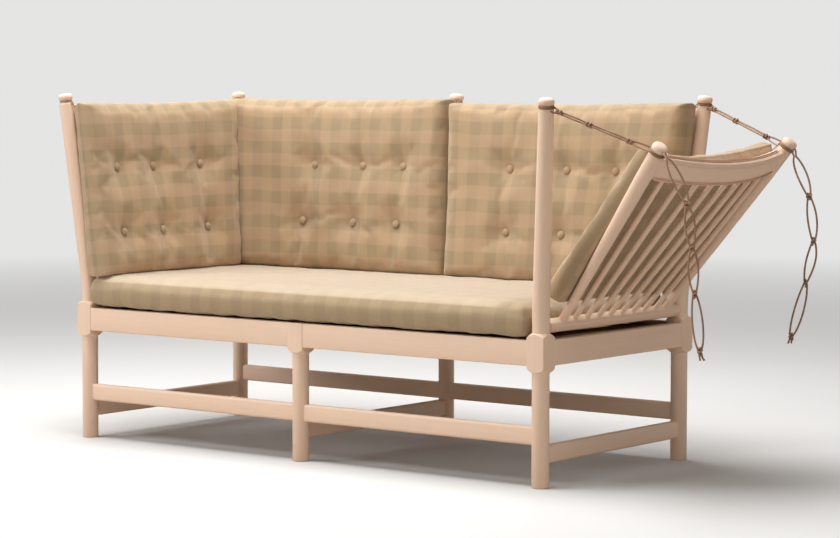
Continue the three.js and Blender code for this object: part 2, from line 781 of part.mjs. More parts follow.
// Arm cushions end at the back cushions
function addArmCushions() {
  const corner = halfDepth - backCushionThickness;
  const front = halfDepth + armCushionReach;
  const fixed = cushion({
    back: cushionBack,
    thickness: armCushionThickness,
    foot: [armCushionCorner.foot - corner, front],
    top: [armCushionCorner.top - corner, front],
    feet: [cushionFoot, cushionFoot],
    tops: [panelCrest + armCushionRise.rear, panelCrest + armCushionRise.front],
    columnShares: armTuftShares,
    rowShares: armTuftRowShares,
    bow: armCushionBow,
  });
  piece('cushion_arm_left', cut(fixed, postsIn(panels.armLeft)), checkCloth(), panels.armLeft.group);
  const dropFront = dropCushionInset - halfDepth;
  const dropFoot = cushionFoot + dropCushionLift;
  const dropped = cushion({
    back: topRailThickness / 2 + dropCushionGap,
    thickness: dropCushionThickness,
    foot: [dropFront, corner - dropCushionCorner.foot],
    top: [dropFront, corner - dropCushionCorner.top],
    feet: [dropFoot, dropFoot],
    tops: [panelCrest + dropCushionRise.front, panelCrest + dropCushionRise.rear],
    columnShares: dropTuftShares,
    rowShares: armTuftRowShares,
    topHollow: dropCushionTopHollow,
  });
  piece('cushion_drop_arm', cut(dropped, grownStiles()), checkCloth(), panels.dropArm.group);
}

// Ring of lace round a neck
function laceLoop({ centre, tilt }) {
  const ring = new THREE.TorusGeometry(neckRadius + seatGap + laceRadius, laceRadius, loopSides, loopSteps);
  return ring.applyQuaternion(tilt).translate(...centre.toArray());
}

// Free lace along a path, with round knots at some of its places
function laceRun(path, steps, knots) {
  const section = Array.from({ length: cordSides }, (_, k) => {
    const angle = (2 * Math.PI * k) / cordSides;
    return new THREE.Vector2(cordRadius * Math.cos(angle), cordRadius * Math.sin(angle));
  });
  const shape = new THREE.Shape(section);
  const tube = new THREE.ExtrudeGeometry(shape, { steps, extrudePath: path, bevelEnabled: false });
  const balls = knots.map(({ place, way }) => {
    const ball = new THREE.SphereGeometry(knotRadius, knotSides, knotRings);
    ball.scale(1, 1, knotLengthShare);
    const turn = new THREE.Quaternion().setFromUnitVectors(up, way);
    return ball.applyQuaternion(turn).translate(...place.toArray());
  });
  return join([tube, ...balls]);
}

function neckOf(frameAt, length) {
  return frameAt(length - knobHeight - neckHeight / 2);
}

function inWorld({ centre, tilt }, group) {
  const turn = new THREE.Quaternion().setFromRotationMatrix(group.matrix);
  return { centre: centre.clone().applyMatrix4(group.matrix), tilt: turn.multiply(tilt) };
}

// Knotted cord from a post's neck to the drop arm's neck, and its hanging tail
function addCord(side, leg, end, tail) {
  const postNeck = neckOf((along) => postFrame(leg, along), postLength(leg));
  const armNeck = inWorld(neckOf((along) => stileFrame(end, along), stileLength), panels.dropArm.group);
  const way = armNeck.centre.clone().sub(postNeck.centre);
  const reach = way.length();
  way.normalize();
  const place = (along) => postNeck.centre.clone().addScaledVector(way, along);
  const loopEdge = neckRadius + 2 * (seatGap + laceRadius);
  const knotHalf = knotRadius * knotLengthShare;
  piece(`cord_${side}_post_loop`, laceLoop(postNeck), leather());
  piece(`cord_${side}_arm_loop`, laceLoop(armNeck), leather());
  const stayPath = new THREE.LineCurve3(place(loopEdge), place(lastKnot - knotHalf - seatGap));
  const knotsOnStay = stayKnots.map((along) => ({ place: place(along), way }));
  piece(`cord_${side}_stay`, laceRun(stayPath, staySteps, knotsOnStay), leather());
  const endPath = new THREE.LineCurve3(place(lastKnot - knotHalf), place(reach - loopEdge));
  piece(`cord_${side}_last_knot`, laceRun(endPath, 2, [{ place: place(lastKnot), way }]), leather());
  const outward = new THREE.Vector3(1, 0, 0).applyQuaternion(armNeck.tilt);
  const lead = [loopEdge + seatGap, loopEdge + tailLead].map((far) => outward.clone().multiplyScalar(far));
  const offsets = [...lead, ...tail.map((offset) => new THREE.Vector3(...offset))];
  const points = offsets.map((offset) => offset.add(armNeck.centre));
  const tailPath = new THREE.CatmullRomCurve3(points, false, 'centripetal');
  const knotsOnTail = tailKnots.map((k) => ({ place: points[k + lead.length], way: up }));
  piece(`cord_${side}_tail`, laceRun(tailPath, tailSteps, knotsOnTail), leather());
}

addLegs();
addRails();
addStretchers();
addStraps();
addFixedPanels();
addDropArm();
addPins();
addSeatCushion();
addBackCushions();
addArmCushions();
addCord('front', legs.leg_front_right, -1, frontTail);
addCord('rear', legs.leg_rear_right, 1, rearTail);

// Origin on the floor under the middle of the sofa, measured without its hanging cords
sofa.updateMatrixWorld(true);
const body = new THREE.Box3();
sofa.traverse((node) => {
  if (node.isMesh && !node.name.startsWith('cord_')) body.expandByObject(node, true);
});
const centre = body.getCenter(new THREE.Vector3());
sofa.position.set(-centre.x, -centre.y, -body.min.z);

export default sofa;
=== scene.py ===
"""Spoke-back sofa with a drop arm: beech frame, check cushions and knotted laces."""

import math
from contextlib import contextmanager
from types import SimpleNamespace

import bpy
from bpy.props import FloatProperty, FloatVectorProperty, PointerProperty
from mathutils import Matrix, Quaternion, Vector, noise


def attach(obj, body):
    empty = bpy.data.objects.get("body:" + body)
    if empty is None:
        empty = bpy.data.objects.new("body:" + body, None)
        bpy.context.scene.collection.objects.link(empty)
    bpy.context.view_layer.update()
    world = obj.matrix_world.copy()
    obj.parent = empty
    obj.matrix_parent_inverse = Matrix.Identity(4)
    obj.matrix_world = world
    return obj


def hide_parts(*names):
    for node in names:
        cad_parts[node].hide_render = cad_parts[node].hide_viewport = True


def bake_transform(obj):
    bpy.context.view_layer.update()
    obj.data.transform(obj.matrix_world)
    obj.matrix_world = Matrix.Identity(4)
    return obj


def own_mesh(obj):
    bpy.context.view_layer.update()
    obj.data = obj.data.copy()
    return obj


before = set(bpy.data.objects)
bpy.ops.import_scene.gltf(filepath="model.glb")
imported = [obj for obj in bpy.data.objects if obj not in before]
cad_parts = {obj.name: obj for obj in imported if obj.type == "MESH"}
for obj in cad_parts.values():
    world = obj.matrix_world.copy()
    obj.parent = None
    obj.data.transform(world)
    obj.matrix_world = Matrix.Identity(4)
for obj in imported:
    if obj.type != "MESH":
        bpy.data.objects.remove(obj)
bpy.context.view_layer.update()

bl_info = {
    "name": "Spoke-back sofa with a drop arm",
    "version": (1, 0, 0),
    "blender": (4, 5, 0),
    "location": "3D View > Sidebar > Sofa",
    "description": "Builds a turned beech sofa, its check cushions and the laces of its drop arm",
    "category": "Add Mesh",
}

# Where the middle of the six legs stands, in metres
FRAME_MIDDLE = Vector((-0.120502, -0.013020, 0.0))
UP = Vector((0.0, 0.0, 1.0))
QUARTER = math.pi / 2
SIDES = {"left": -1, "middle": 0, "right": 1}

# Knob, neck and collar of a post or stile
KNOB_HEIGHT, NECK_HEIGHT, COLLAR_HEIGHT = 0.0185, 0.0055, 0.005
KNOB_RADIUS, NECK_RADIUS, COLLAR_RADIUS = 0.0183, 0.014, 0.0176

# Knob: rise as a share of its height, reach as a share of its radius
KNOB_SHARES = ((0.0, 0.76), (0.1, 0.89), (0.24, 0.97), (0.42, 1.0), (0.6, 0.985), (0.76, 0.915),
               (0.88, 0.79), (0.95, 0.62), (0.985, 0.43), (1.0, 0.2))

# Foot of a leg: rise, and how far it is turned back there
LEG_FOOT = ((0.0, 0.002), (0.0007, 0.0008), (0.002, 0.0))
SHOULDER_STEPS = (1.0, 0.8, 0.6, 0.42, 0.26, 0.12, 0.0)
BEND_STEPS = 6

# Edges of the rails and stretchers, and how deep a stretcher goes into a leg
RAIL_EASE, BOARD_EASE, STRETCHER_TENON = 0.0026, 0.0062, 0.012
FOOT_RAIL_WIDTH, FOOT_RAIL_HEIGHT, FOOT_RAIL_EASE = 0.03, 0.027, 0.0095

# Drop arm: lean at rest, fan of its stiles, distance between their feet, air beside its foot rail
ARM_LEAN, ARM_FAN = math.radians(37), math.radians(7.331)
ARM_SPREAD, ARM_AIR = 0.4295, 0.0019

# Stile of the drop arm: rise as a share of its length, reach as a share of its foot's radius
STILE_SHARES = ((0.04, 1.0), (0.15, 1.06), (0.27, 1.14), (0.42, 1.33), (0.555, 1.47), (0.7, 1.62), (0.82, 1.73))
STILE_RADIUS, STILE_RISE, STILE_CLEARANCE = 0.01, 0.0355, 0.0145

# Check cloth: sharpness of its bands, repeat of its threads, and how fine its yarn is across and along
BAND_SHARPNESS, THREAD_REPEAT = 5.0, 0.0016
YARN_FINE, YARN_LONG = 1400.0, 70.0

# How far the seat cushion stands over the rails
CUSHION_LIFT = 0.0003 + 0.007
PLAIN_CUSHION = {"buttons": {}, "crown": 0.007, "back_crown": 0.003, "bow": 0.0, "top_hollow": 0.007, "under": 1.0,
                 "cloth": 0.0, "dark_strips": False, "plain_ends": False}

# A button's pit, the hollow round it, its fold and the ridge beside that
PIT_DEPTH, PIT_WIDTH, PIT_LIMIT = 0.0095, 0.0135, 0.24
HOLLOW_DEPTH, HOLLOW_WIDTH = 0.0075, 0.042
FOLD_DEPTH, FOLD_WIDTH, RIDGE_PLACE, RIDGE_WIDTH = 0.0014, 0.013, 0.023, 0.015

# Pull on a cushion's corners, hollow of its edges, swell of its sides, height of its lumps, depth of a pit at its back
CORNER_PULL, EDGE_HOLLOW, SIDE_SWELL, LUMP_HEIGHT, BACK_PIT = 0.0035, 0.003, 0.003, 0.0022, 0.35

# How firmly the buttons, the rims and the back are held while a cover is filled, and for how many frames
PIN_HOLD, RIM_HOLD, BACK_HOLD, FILL_FRAMES = 1.0, 0.6, 0.25, 20

# How the covers behave while they are filled
CLOTH = {"quality": 5, "mass": 0.25, "use_pressure": True, "vertex_group_mass": "held", "tension_stiffness": 18,
         "compression_stiffness": 12, "shear_stiffness": 6, "bending_stiffness": 0.35}

# Covered button: rise as a share of its height, reach as a share of its radius
BUTTON_HEIGHT = 0.0088
BUTTON_SHARES = ((0.0, 0.82), (0.12, 0.95), (0.26, 1.0), (0.42, 0.985), (0.6, 0.9), (0.78, 0.72), (0.9, 0.48),
                 (0.97, 0.2))

# Places of the buttons along each row, by the row's height, as shares of a cushion's length and height
BACK_LEFT_BUTTONS = {0.272: (0.2, 0.407, 0.633), 0.62: (0.179, 0.366, 0.592)}
BACK_RIGHT_BUTTONS = {0.271: (0.25, 0.472, 0.714), 0.628: (0.255, 0.468, 0.712)}
ARM_BUTTONS = {0.255: (0.251, 0.57, 0.843), 0.618: (0.287, 0.6, 0.838)}
DROP_BUTTONS = {0.26: (0.203, 0.506, 0.81), 0.625: (0.203, 0.506, 0.81)}

# Webbing: thickness, height of its waves, widths, and places as shares of the seat's depth and of a bay's width
WEB_THICKNESS, WEB_WAVE = 0.0018, 0.0013
BAND_WIDTH, STRAP_WIDTH = 0.064, 0.078
BAND_SHARES = (-0.42, -0.29, 0.29, 0.42)
STRAP_SHARES = (-0.43, -0.22, 0.0, 0.22, 0.43)

# Overhand knot: its turns and its length
KNOT_TURNS, KNOT_LENGTH = 2.1, 0.017
# Two laces that lie side by side: distance between their axes as a share of their thickness
SIDE_BY_SIDE = 1.02
# Knots along a stay, from the post's neck, and how wide its two laces stand at a neck
STAY_KNOTS, STAY_MOUTH = (0.034, 0.110, 0.213), 0.0148
# How wide the two laces of a tail stand between its knots, and the steps that each stretch is drawn in
TAIL_BOWS = (0.0045, 0.0118, 0.0105, 0.0108, 0.0112, 0.0)
TAIL_STEPS = (6, 18, 18, 18, 20, 5)

# Hanging ends of the laces, from the neck of the arm's stile
TAILS = {
    "front": ((0.038, -0.017, -0.013), (0.087, -0.017, -0.110), (0.101, -0.017, -0.203),
              (0.108, -0.017, -0.302), (0.122, -0.017, -0.425), (0.128, -0.017, -0.445)),
    "rear": ((0.023, 0.0, -0.022), (0.061, 0.0, -0.114), (0.074, 0.0, -0.217), (0.054, 0.0, -0.315),
             (0.017, 0.0, -0.443), (0.012, 0.0, -0.458)),
}

# Cushion ties at the posts: side and row of the post, whether laces lie there, cushions and their ends
POST_TIES = {
    "left_front": (-1, -1, False, (("arm_left", 1),)),
    "left_rear": (-1, 1, False, (("arm_left", 0), ("back_left", 1))),
    "middle_rear": (0, 1, False, (("back_left", 0), ("back_right", 1))),
    "right_rear": (1, 1, True, (("back_right", 0),)),
}

# A tie's ring round its neck stays open by this angle to each side, and its two ends meet at this share of the way
TIE_GAP, TIE_MOUTH = 0.35, 0.72

# Studio: the camera's place and its turn, tilt and roll; each lamp's place, target, extent and power
CAMERA_PLACE = (4.119648, -5.345055, 0.9387)
CAMERA_TURNS = (37.5765, 86.7476, 0.0837)
LAMPS = {
    "top_softbox": ((-0.5, -0.25, 3.5), (-0.1, 0.0, 0.4), (3.2, 2.0), 182),
    "left_softbox": ((-3.7, -3.3, 2.3), (0.0, 0.0, 0.45), (2.4, 2.0), 97),
    "right_fill": ((4.6, -2.2, 2.2), (0.0, 0.0, 0.4), (2.5, 2.5), 23),
}


def size(label, default, description):
    return FloatProperty(name=label, default=default, unit="LENGTH", precision=4, description=description)


def colour(label, default, description):
    return FloatVectorProperty(name=label, default=default, size=3, subtype="COLOR", min=0.0, max=1.0,
                               description=description)


class SofaFrameSizes(bpy.types.PropertyGroup):
    """Sizes of the wooden frame"""

    leg_span: size("Leg span", 1.4085, "Distance between the axes of the outer legs")
    leg_depth: size("Leg depth", 0.58155, "Distance between the axes of the front and rear legs")
    stand_height: size("Height", 0.88, "Height of the posts' knobs above the floor")
    leg_radius: size("Leg radius", 0.0201, "Radius of a turned leg")
    block_width: size("Block width", 0.047, "Side of the square block that takes the rails")
    block_height: size("Block height", 0.0605, "Height of the square block")
    shoulder: size("Shoulder", 0.0145, "Height of the curved shoulder above and below the block")
    bend_start: size("Bend start", 0.37, "Height at which a post starts to lean")
    bend_length: size("Bend length", 0.04, "Length of the bend in a post")
    splay: FloatProperty(name="Splay", default=math.radians(5), subtype="ANGLE",
                         description="Lean of the posts, seen from the front or the side")
    rail_height: size("Rail height", 0.058, "Height of a seat rail")
    rail_thickness: size("Rail thickness", 0.024, "Thickness of a seat rail")
    rail_top: size("Rail top", 0.3345, "Height of the seat rails' top edge")
    rail_recess: size("Rail recess", 0.0015, "Step from a block's face back to a rail's face")
    stretcher_height: size("Stretcher height", 0.042, "Height of a stretcher")
    stretcher_thickness: size("Stretcher thickness", 0.02, "Thickness of a stretcher")
    long_stretcher: size("Long stretchers", 0.1175, "Height of the front and back stretchers' middle")
    cross_stretcher: size("Cross stretchers", 0.075, "Height of the side and middle stretchers' middle")
    foot_rail_centre: size("Foot rail height", 0.365, "Height of the spoke panels' foot rails")
    top_rail_drop: size("Top rail drop", 0.028, "Distance from the knobs down to the top rails")
    top_rail_height: size("Top rail height", 0.054, "Height of a bowed top rail")
    top_rail_thickness: size("Top rail thickness", 0.02, "Thickness of a bowed top rail")
    top_rail_bow: size("Top rail bow", 0.037, "Depth of a top rail's bow")
    spoke_radius: size("Spoke radius", 0.0068, "Radius of a spoke at its middle")


class SofaCushionSizes(bpy.types.PropertyGroup):
    """Sizes of the cushions"""

    seat_thickness: size("Seat thickness", 0.072, "Thickness of the seat cushion at its edges")
    back_thickness: size("Back thickness", 0.072, "Thickness of the back cushions at their edges")
    edge_round: size("Edge radius", 0.012, "Radius of the back and arm cushions' edges")
    seat_round: size("Seat edge radius", 0.021, "Radius of the seat cushion's edges")
    button_radius: size("Button radius", 0.0102, "Radius of a covered button")
    pressure: FloatProperty(name="Pressure", default=4.0, min=0.0, description="Pressure that fills the covers")
    check: size("Check repeat", 0.0665, "Distance over which the cloth's check repeats")


class SofaLaceSizes(bpy.types.PropertyGroup):
    """Sizes of the knotted laces"""

    lace_radius: size("Lace radius", 0.00225, "Radius of one leather lace")
    knot_radius: size("Knot radius", 0.0054, "Radius of an overhand knot's turns in the doubled lace")
    tie_radius: size("Tie radius", 0.0011, "Radius of a cushion's tie")


class SofaColours(bpy.types.PropertyGroup):
    """Colours of the sofa"""

    beech: colour("Beech", (0.865, 0.655, 0.51), "Soaped beech")
    beech_grain: colour("Beech grain", (0.75, 0.54, 0.395), "Darker lines in the beech")
    olive: colour("Olive band", (0.372, 0.28, 0.172), "Dark band of the check")
    blush: colour("Pinkish band", (0.51, 0.358, 0.228), "Light band of the check")
    straw: colour("Straw band", (0.54, 0.395, 0.24), "Light band of the check where the rows across are dark")
    # Painted highlight: this pale cream is mixed onto the top of the seat to stand for the light that falls there
    painted_top_highlight: colour("Bleached cloth", (0.74, 0.62, 0.49), "Top of the seat, paler where it has been sat on")
    leather: colour("Leather", (0.27, 0.16, 0.094), "Leather of the laces")
    webbing: colour("Webbing", (0.15, 0.085, 0.04), "Straps under the seat")
    steel: colour("Steel", (0.52, 0.52, 0.5), "Pins and clips")
    floor: colour("Floor", (0.78, 0.78, 0.775), "Studio floor")


def settings():
    return bpy.context.scene.sofa_frame


def places():
    """Places that follow from the frame's sizes, as the drawings have them"""
    s = settings()
    crest = s.stand_height - s.top_rail_drop - s.foot_rail_centre
    foot = crest - s.top_rail_height
    middle = foot + s.top_rail_height / 2
    flare = (s.foot_rail_centre + middle - s.bend_start - s.bend_length / 2) * math.tan(s.splay)
    return SimpleNamespace(
        crest=crest,
        top_foot=foot,
        top_middle=middle,
        flare=flare,
        lean=math.atan(flare / middle),
        corner_lean=math.atan(math.sqrt(2) * math.tan(s.splay)),
        half_span=s.leg_span / 2,
        half_depth=s.leg_depth / 2,
        stile=crest + STILE_RISE,
    )


def floor_place(x, y, z):
    """Matrix that moves a piece to a place seen from the middle of the six legs"""
    return Matrix.Translation(FRAME_MIDDLE + Vector((x, y, z)))


# Materials
class Signal:
    """A node's socket that can be written in sums"""

    def __init__(self, finish, socket):
        self.finish = finish
        self.socket = socket

    def sum(self, operation, *others):
        values = [other.socket if isinstance(other, Signal) else other for other in others]
        return self.finish.node("ShaderNodeMath", {"operation": operation}, dict(enumerate(values))).value()

    def __add__(self, other):
        return self.sum("ADD", self, other)

    def __radd__(self, other):
        return self.sum("ADD", other, self)

    def __sub__(self, other):
        return self.sum("SUBTRACT", self, other)

    def __rsub__(self, other):
        return self.sum("SUBTRACT", other, self)

    def __mul__(self, other):
        return self.sum("MULTIPLY", self, other)

    def __rmul__(self, other):
        return self.sum("MULTIPLY", other, self)

    def __truediv__(self, other):
        return self.sum("DIVIDE", self, other)

    def sine(self):
        return self.sum("SINE", self)

    def between(self, low, high):
        return self.sum("MINIMUM", self.sum("MAXIMUM", self, low), high)


class Part:
    """A node with its sockets at hand"""

    def __init__(self, finish, node):
        self.finish = finish
        self.node = node

    def value(self, name=0):
        return Signal(self.finish, self.node.outputs[name])


class Finish:
    """A material or a world that is put together from nodes"""

    def __init__(self, name, library=None):
        self.made = (bpy.data.materials if library is None else library).new(name)
        self.made.use_nodes = True
        self.tree = self.made.node_tree
        self.surface = next(node for node in self.tree.nodes if node.type in ("BSDF_PRINCIPLED", "BACKGROUND"))

    def node(self, kind, options=None, sockets=None):
        node = self.tree.nodes.new(kind)
        for name, option in (options or {}).items():
            setattr(node, name, option)
        for name, value in (sockets or {}).items():
            self.feed(node.inputs[name], value)
        return Part(self, node)

    def feed(self, socket, value):
        if isinstance(value, Signal):
            value = value.socket
        if isinstance(value, bpy.types.NodeSocket):
            self.tree.links.new(value, socket)
        elif socket.type == "RGBA":
            socket.default_value = (*value[:3], 1.0)
        else:
            socket.default_value = value

    def set(self, **sockets):
        for name, value in sockets.items():
            self.feed(self.surface.inputs[name.replace("_", " ").title().replace("Ior", "IOR")], value)
        return self.made

    def cover(self, share, layer):
        """Lays another shader over the surface by a share"""
        layers = {0: share, 1: self.surface.outputs[0], 2: layer.value()}
        blend = self.node("ShaderNodeMixShader", None, layers)
        output = next(node for node in self.tree.nodes if node.type in ("OUTPUT_MATERIAL", "OUTPUT_WORLD"))
        self.feed(output.inputs["Surface"], blend.value())
        return self.made

    def mix(self, factor, first, second):
        return self.node("ShaderNodeMix", {"data_type": "RGBA"}, {0: factor, 6: first, 7: second}).value(2)

    def noise(self, place, scale, detail=2.0, roughness=0.5, distortion=0.0):
        sockets = {"Vector": place, "Scale": scale, "Detail": detail, "Roughness": roughness, "Distortion": distortion}
        return self.node("ShaderNodeTexNoise", None, sockets).value("Fac")

    def bump(self, height, distance, strength=1.0):
        sockets = {"Height": height, "Distance": distance, "Strength": strength}
        return self.node("ShaderNodeBump", None, sockets).value("Normal")

    def object_place(self, turn=(0.0, 0.0, 0.0), stretch=(1.0, 1.0, 1.0), shift=(0.0, 0.0, 0.0)):
        spot = self.node("ShaderNodeTexCoord").value("Object")
        turned = self.node("ShaderNodeMapping", None, {"Vector": spot, "Rotation": turn, "Location": shift})
        return self.node("ShaderNodeMapping", None, {"Vector": turned.value(), "Scale": stretch}).value()

    def combine(self, x, y, z=0.0):
        return self.node("ShaderNodeCombineXYZ", None, {"X": x, "Y": y, "Z": z}).value()

    def separate(self, place):
        """Three parts of a place"""
        sides = self.node("ShaderNodeSeparateXYZ", None, {"Vector": place})
        return [sides.value(name) for name in "XYZ"]


def beech(wood, colours, turn):
    """Soaped beech whose grain runs along Z before the turn"""
    lines = wood.object_place(turn, (1.0, 1.0, 0.045))
    streaks = wood.noise(lines, 130.0, 5.0, 0.62, 0.4)
    tone = wood.noise(wood.object_place(turn, (1.0, 1.0, 0.18)), 9.0, 2.0)
    flecks = wood.noise(wood.object_place(turn, (1.0, 1.0, 0.16), (0.3, 0.1, 0.7)), 620.0, 1.0)
    ticks = ((flecks - 0.63) * 9.0).between(0.0, 1.0)
    pores = wood.noise(wood.object_place(turn, (1.0, 1.0, 0.05)), 1500.0, 2.0)
    grain = ((streaks - 0.38) * 2.1).between(0.0, 1.0) * 0.34 + ((tone - 0.4) * 1.6).between(0.0, 1.0) * 0.2
    shade = wood.mix(grain + ticks * 0.26, colours.beech, colours.beech_grain)
    height = streaks * 0.5 + pores * 0.35 - ticks * 0.5
    return wood.set(base_color=shade, roughness=streaks * 0.16 + 0.46, normal=wood.bump(height, 0.00035, 0.5),
                    specular_ior_level=0.35)


def check_cloth(cloth, colours, nap, contrast, base, paints_top_highlight):
    """Wool check of olive and pinkish bands, with a painted highlight on top of a seat: paler and creamier there,
    fading out towards its right end where the drop arm shades it
    """
    spot = cloth.node("ShaderNodeUVMap", {"uv_map": "cloth"}).value()
    across, upward, _ = cloth.separate(spot)
    wander = (cloth.noise(spot, 9.0, 1.0) - 0.5) * 0.012
    turns = 2 * math.pi / bpy.context.scene.sofa_cushions.check

    def band(place):
        return ((place + wander) * turns).sine() * BAND_SHARPNESS

    weft = (band(upward) * 0.5 + 0.5).between(0.0, 1.0)
    paired = (across * (turns / 2)).sine() * 0.22 + 0.72
    warp = ((band(across) * 0.5).between(-0.5, 0.5) * paired + 0.5).between(0.0, 1.0)
    yarn_up = cloth.noise(cloth.combine(across * YARN_FINE, upward * YARN_LONG), 1.0, 2.0)
    yarn_across = cloth.noise(cloth.combine(across * YARN_LONG, upward * YARN_FINE, 7.0), 1.0, 2.0)
    cloudy = cloth.noise(spot, 26.0, 3.0)
    melange = (yarn_up + yarn_across - 1.0) * 0.55 + (cloudy - 0.5) * 0.22
    blend = (weft * 0.52 + warp * 0.48 + melange).between(0.0, 1.0) * contrast + base
    rosy = cloth.mix(blend, colours.olive, colours.blush)
    leafy = cloth.mix(blend, Vector(colours.olive) * 0.96, colours.straw)
    shade = cloth.mix(weft, leafy, rosy)
    # Painted highlight: the seat's top is mixed towards a pale cream, faded out towards its right end where it lies in
    # the drop arm's shade
    if paints_top_highlight:
        s = settings()
        height = s.rail_top + bpy.context.scene.sofa_cushions.seat_thickness - 0.004
        place = cloth.separate(cloth.object_place())
        clear_of_arm_shade = ((FRAME_MIDDLE.x + places().half_span - 0.07 - place[0]) * 14.0).between(0.0, 1.0)
        pale = ((place[2] - height) * 120.0).between(0.0, 0.36) * clear_of_arm_shade
        shade = cloth.mix(pale, shade, colours.painted_top_highlight)
    thread = 2 * math.pi / THREAD_REPEAT
    over = (across * thread).sine() * (upward * thread).sine()
    height = over * 0.5 + (yarn_up + yarn_across) * 0.6 + cloudy * 0.8
    return cloth.set(base_color=shade, roughness=0.92, normal=cloth.bump(height, 0.0004, 0.6), specular_ior_level=0.2,
                     sheen_weight=nap, sheen_roughness=0.38, sheen_tint=(1.0, 0.96, 0.9))


def lace_leather(hide, colours):
    """Tan leather, darker where it has been handled"""
    spot = hide.object_place()
    worn = hide.noise(spot, 38.0, 3.0)
    skin = hide.noise(spot, 900.0, 3.0)
    shade = hide.mix(((worn - 0.35) * 2.4).between(0.0, 1.0), colours.leather, Vector(colours.leather) * 1.6)
    creases = hide.noise(spot, 260.0, 2.0)
    return hide.set(base_color=shade, roughness=worn * 0.2 + 0.5, normal=hide.bump(skin + creases, 0.0003, 0.6))


def strap_webbing(jute, colours):
    """Jute webbing with a herringbone rib"""
    spot = jute.object_place()
    east, north, _ = jute.separate(spot)
    ribs = ((east + north) * 2600.0).sine() * ((east - north) * 2600.0).sine()
    fibre = jute.noise(spot, 420.0, 3.0)
    tone = Vector(colours.webbing)
    shade = jute.mix((fibre + ribs * 0.25).between(0.0, 1.0), tone * 0.7, tone * 1.7)
    return jute.set(base_color=shade, roughness=0.9, normal=jute.bump(ribs * 0.5 + fibre, 0.0005, 0.8))


def brushed_steel(metal, colours):
    """Zinc-plated steel with fine lines"""
    lines = metal.noise(metal.object_place(stretch=(1.0, 0.05, 1.0)), 900.0, 3.0)
    shade = metal.mix(lines, Vector(colours.steel) * 0.8, colours.steel)
    fine = metal.bump(lines, 0.0001, 0.5)
    return metal.set(base_color=shade, metallic=1.0, roughness=lines * 0.2 + 0.28, normal=fine)


# Slot, recipe and its options for each material
FINISHES = {
    "beech_upright": ("beech", beech, (0.0, 0.0, 0.0)),
    "beech_lengthways": ("beech", beech, (0.0, QUARTER, 0.0)),
    "beech_crossways": ("beech", beech, (QUARTER, 0.0, 0.0)),
    "beech_drop_arm": ("beech", beech, (0.0, -ARM_LEAN, 0.0)),
    "check_cloth_woven": ("check_cloth", check_cloth, 0.42, 0.84, 0.08, False),
    # The seat's cloth also carries a painted highlight on its top
    "check_cloth_top_highlight": ("check_cloth", check_cloth, 0.9, 0.56, 0.08, True),
    "lace_leather_round": ("lace_leather", lace_leather),
    "strap_webbing_jute": ("strap_web", strap_webbing),
    "pin_steel_brushed": ("pin_steel", brushed_steel),
}


def paint(obj, name):
    """Gives a piece its material, made the first time that it is asked for, and returns the name of the material's
    slot
    """
    slot, recipe, *options = FINISHES[name]
    made = bpy.data.materials.get(name) or recipe(Finish(name), bpy.context.scene.sofa_colours, *options)
    obj.data.materials.clear()
    obj.data.materials.append(made)
    return slot


# Work on the bench
def clear_bench():
    if bpy.context.object and bpy.context.object.mode != "OBJECT":
        bpy.ops.object.mode_set(mode="OBJECT")
    bpy.ops.object.select_all(action="DESELECT")


def take(*objects):
    clear_bench()
    for obj in objects:
        obj.select_set(True)
    bpy.context.view_layer.objects.active = objects[0]
    return objects[0]


def named(name, obj=None):
    obj = obj or bpy.context.object
    obj.name = name
    obj.data.name = name
    return obj


def settle(obj):
    """Puts a piece's place into its mesh"""
    take(obj)
    bpy.ops.object.transform_apply(location=True, rotation=True, scale=True)
    return obj


def moved(obj, matrix):
    obj.data.transform(matrix)
    obj.data.update()
    return obj


def turn_to(way):
    """Matrix that turns Z to a course"""
    return way.to_track_quat("Z", "Y").to_matrix().to_4x4()


def join(name, pieces):
    take(*pieces)
    if len(pieces) > 1:
        bpy.ops.object.join()
    return named(name)


def modify(obj, kind, **options):
    take(obj)
    modifier = obj.modifiers.new(kind.title(), kind)
    for name, option in options.items():
        setattr(modifier, name, option)
    bpy.ops.object.modifier_apply(modifier=modifier.name)
    return obj


@contextmanager
def opened(obj):
    """A piece's mesh, open on the bench with all of it selected"""
    take(obj)
    bpy.ops.object.mode_set(mode="EDIT")
    bpy.ops.mesh.select_all(action="SELECT")
    yield
    bpy.ops.object.mode_set(mode="OBJECT")


def face_outwards():
    """Turns every face of the open mesh outwards"""
    bpy.ops.mesh.select_all(action="SELECT")
    bpy.ops.mesh.normals_make_consistent(inside=False)


def ease_edges(obj, chosen, ease, segments=3, cuts=()):
    """Rounds the edges whose two ends pass a test, then cuts the piece across at places along Y"""
    take(obj)
    bpy.ops.object.mode_set(mode="EDIT")
    bpy.ops.mesh.select_mode(type="EDGE")
    bpy.ops.object.mode_set(mode="OBJECT")
    for edge in obj.data.edges:
        edge.select = chosen(*(obj.data.vertices[k].co for k in edge.vertices))
    bpy.ops.object.mode_set(mode="EDIT")
    bpy.ops.mesh.bevel(offset=ease, segments=segments, profile=0.5, affect="EDGES")
    for cut in cuts:
        bpy.ops.mesh.select_all(action="SELECT")
        bpy.ops.mesh.bisect(plane_co=(0, cut, 0), plane_no=(0, 1, 0))
    bpy.ops.object.mode_set(mode="OBJECT")
    return obj


def smooth(obj, degrees=32.0):
    take(obj)
    bpy.ops.object.shade_smooth_by_angle(angle=math.radians(degrees))
    return obj


def enter(obj, slot, body, *nodes):
    """Puts a piece into the model: its body and the nodes that it stands for. The slot is not used"""
    if body:
        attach(obj, body)
    if nodes:
        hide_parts(*nodes)
    return obj


def copy(obj, name):
    twin = obj.copy()
    twin.data = obj.data.copy()
    bpy.context.collection.objects.link(twin)
    return named(name, twin)


def placed(model, name, matrix):
    """Copy of a model at its place"""
    return moved(copy(model, name), matrix)


def put_away(*models):
    for model in models:
        bpy.data.objects.remove(model)


def dress(obj, name, body, *nodes):
    return enter(obj, paint(obj, name), body, *nodes)


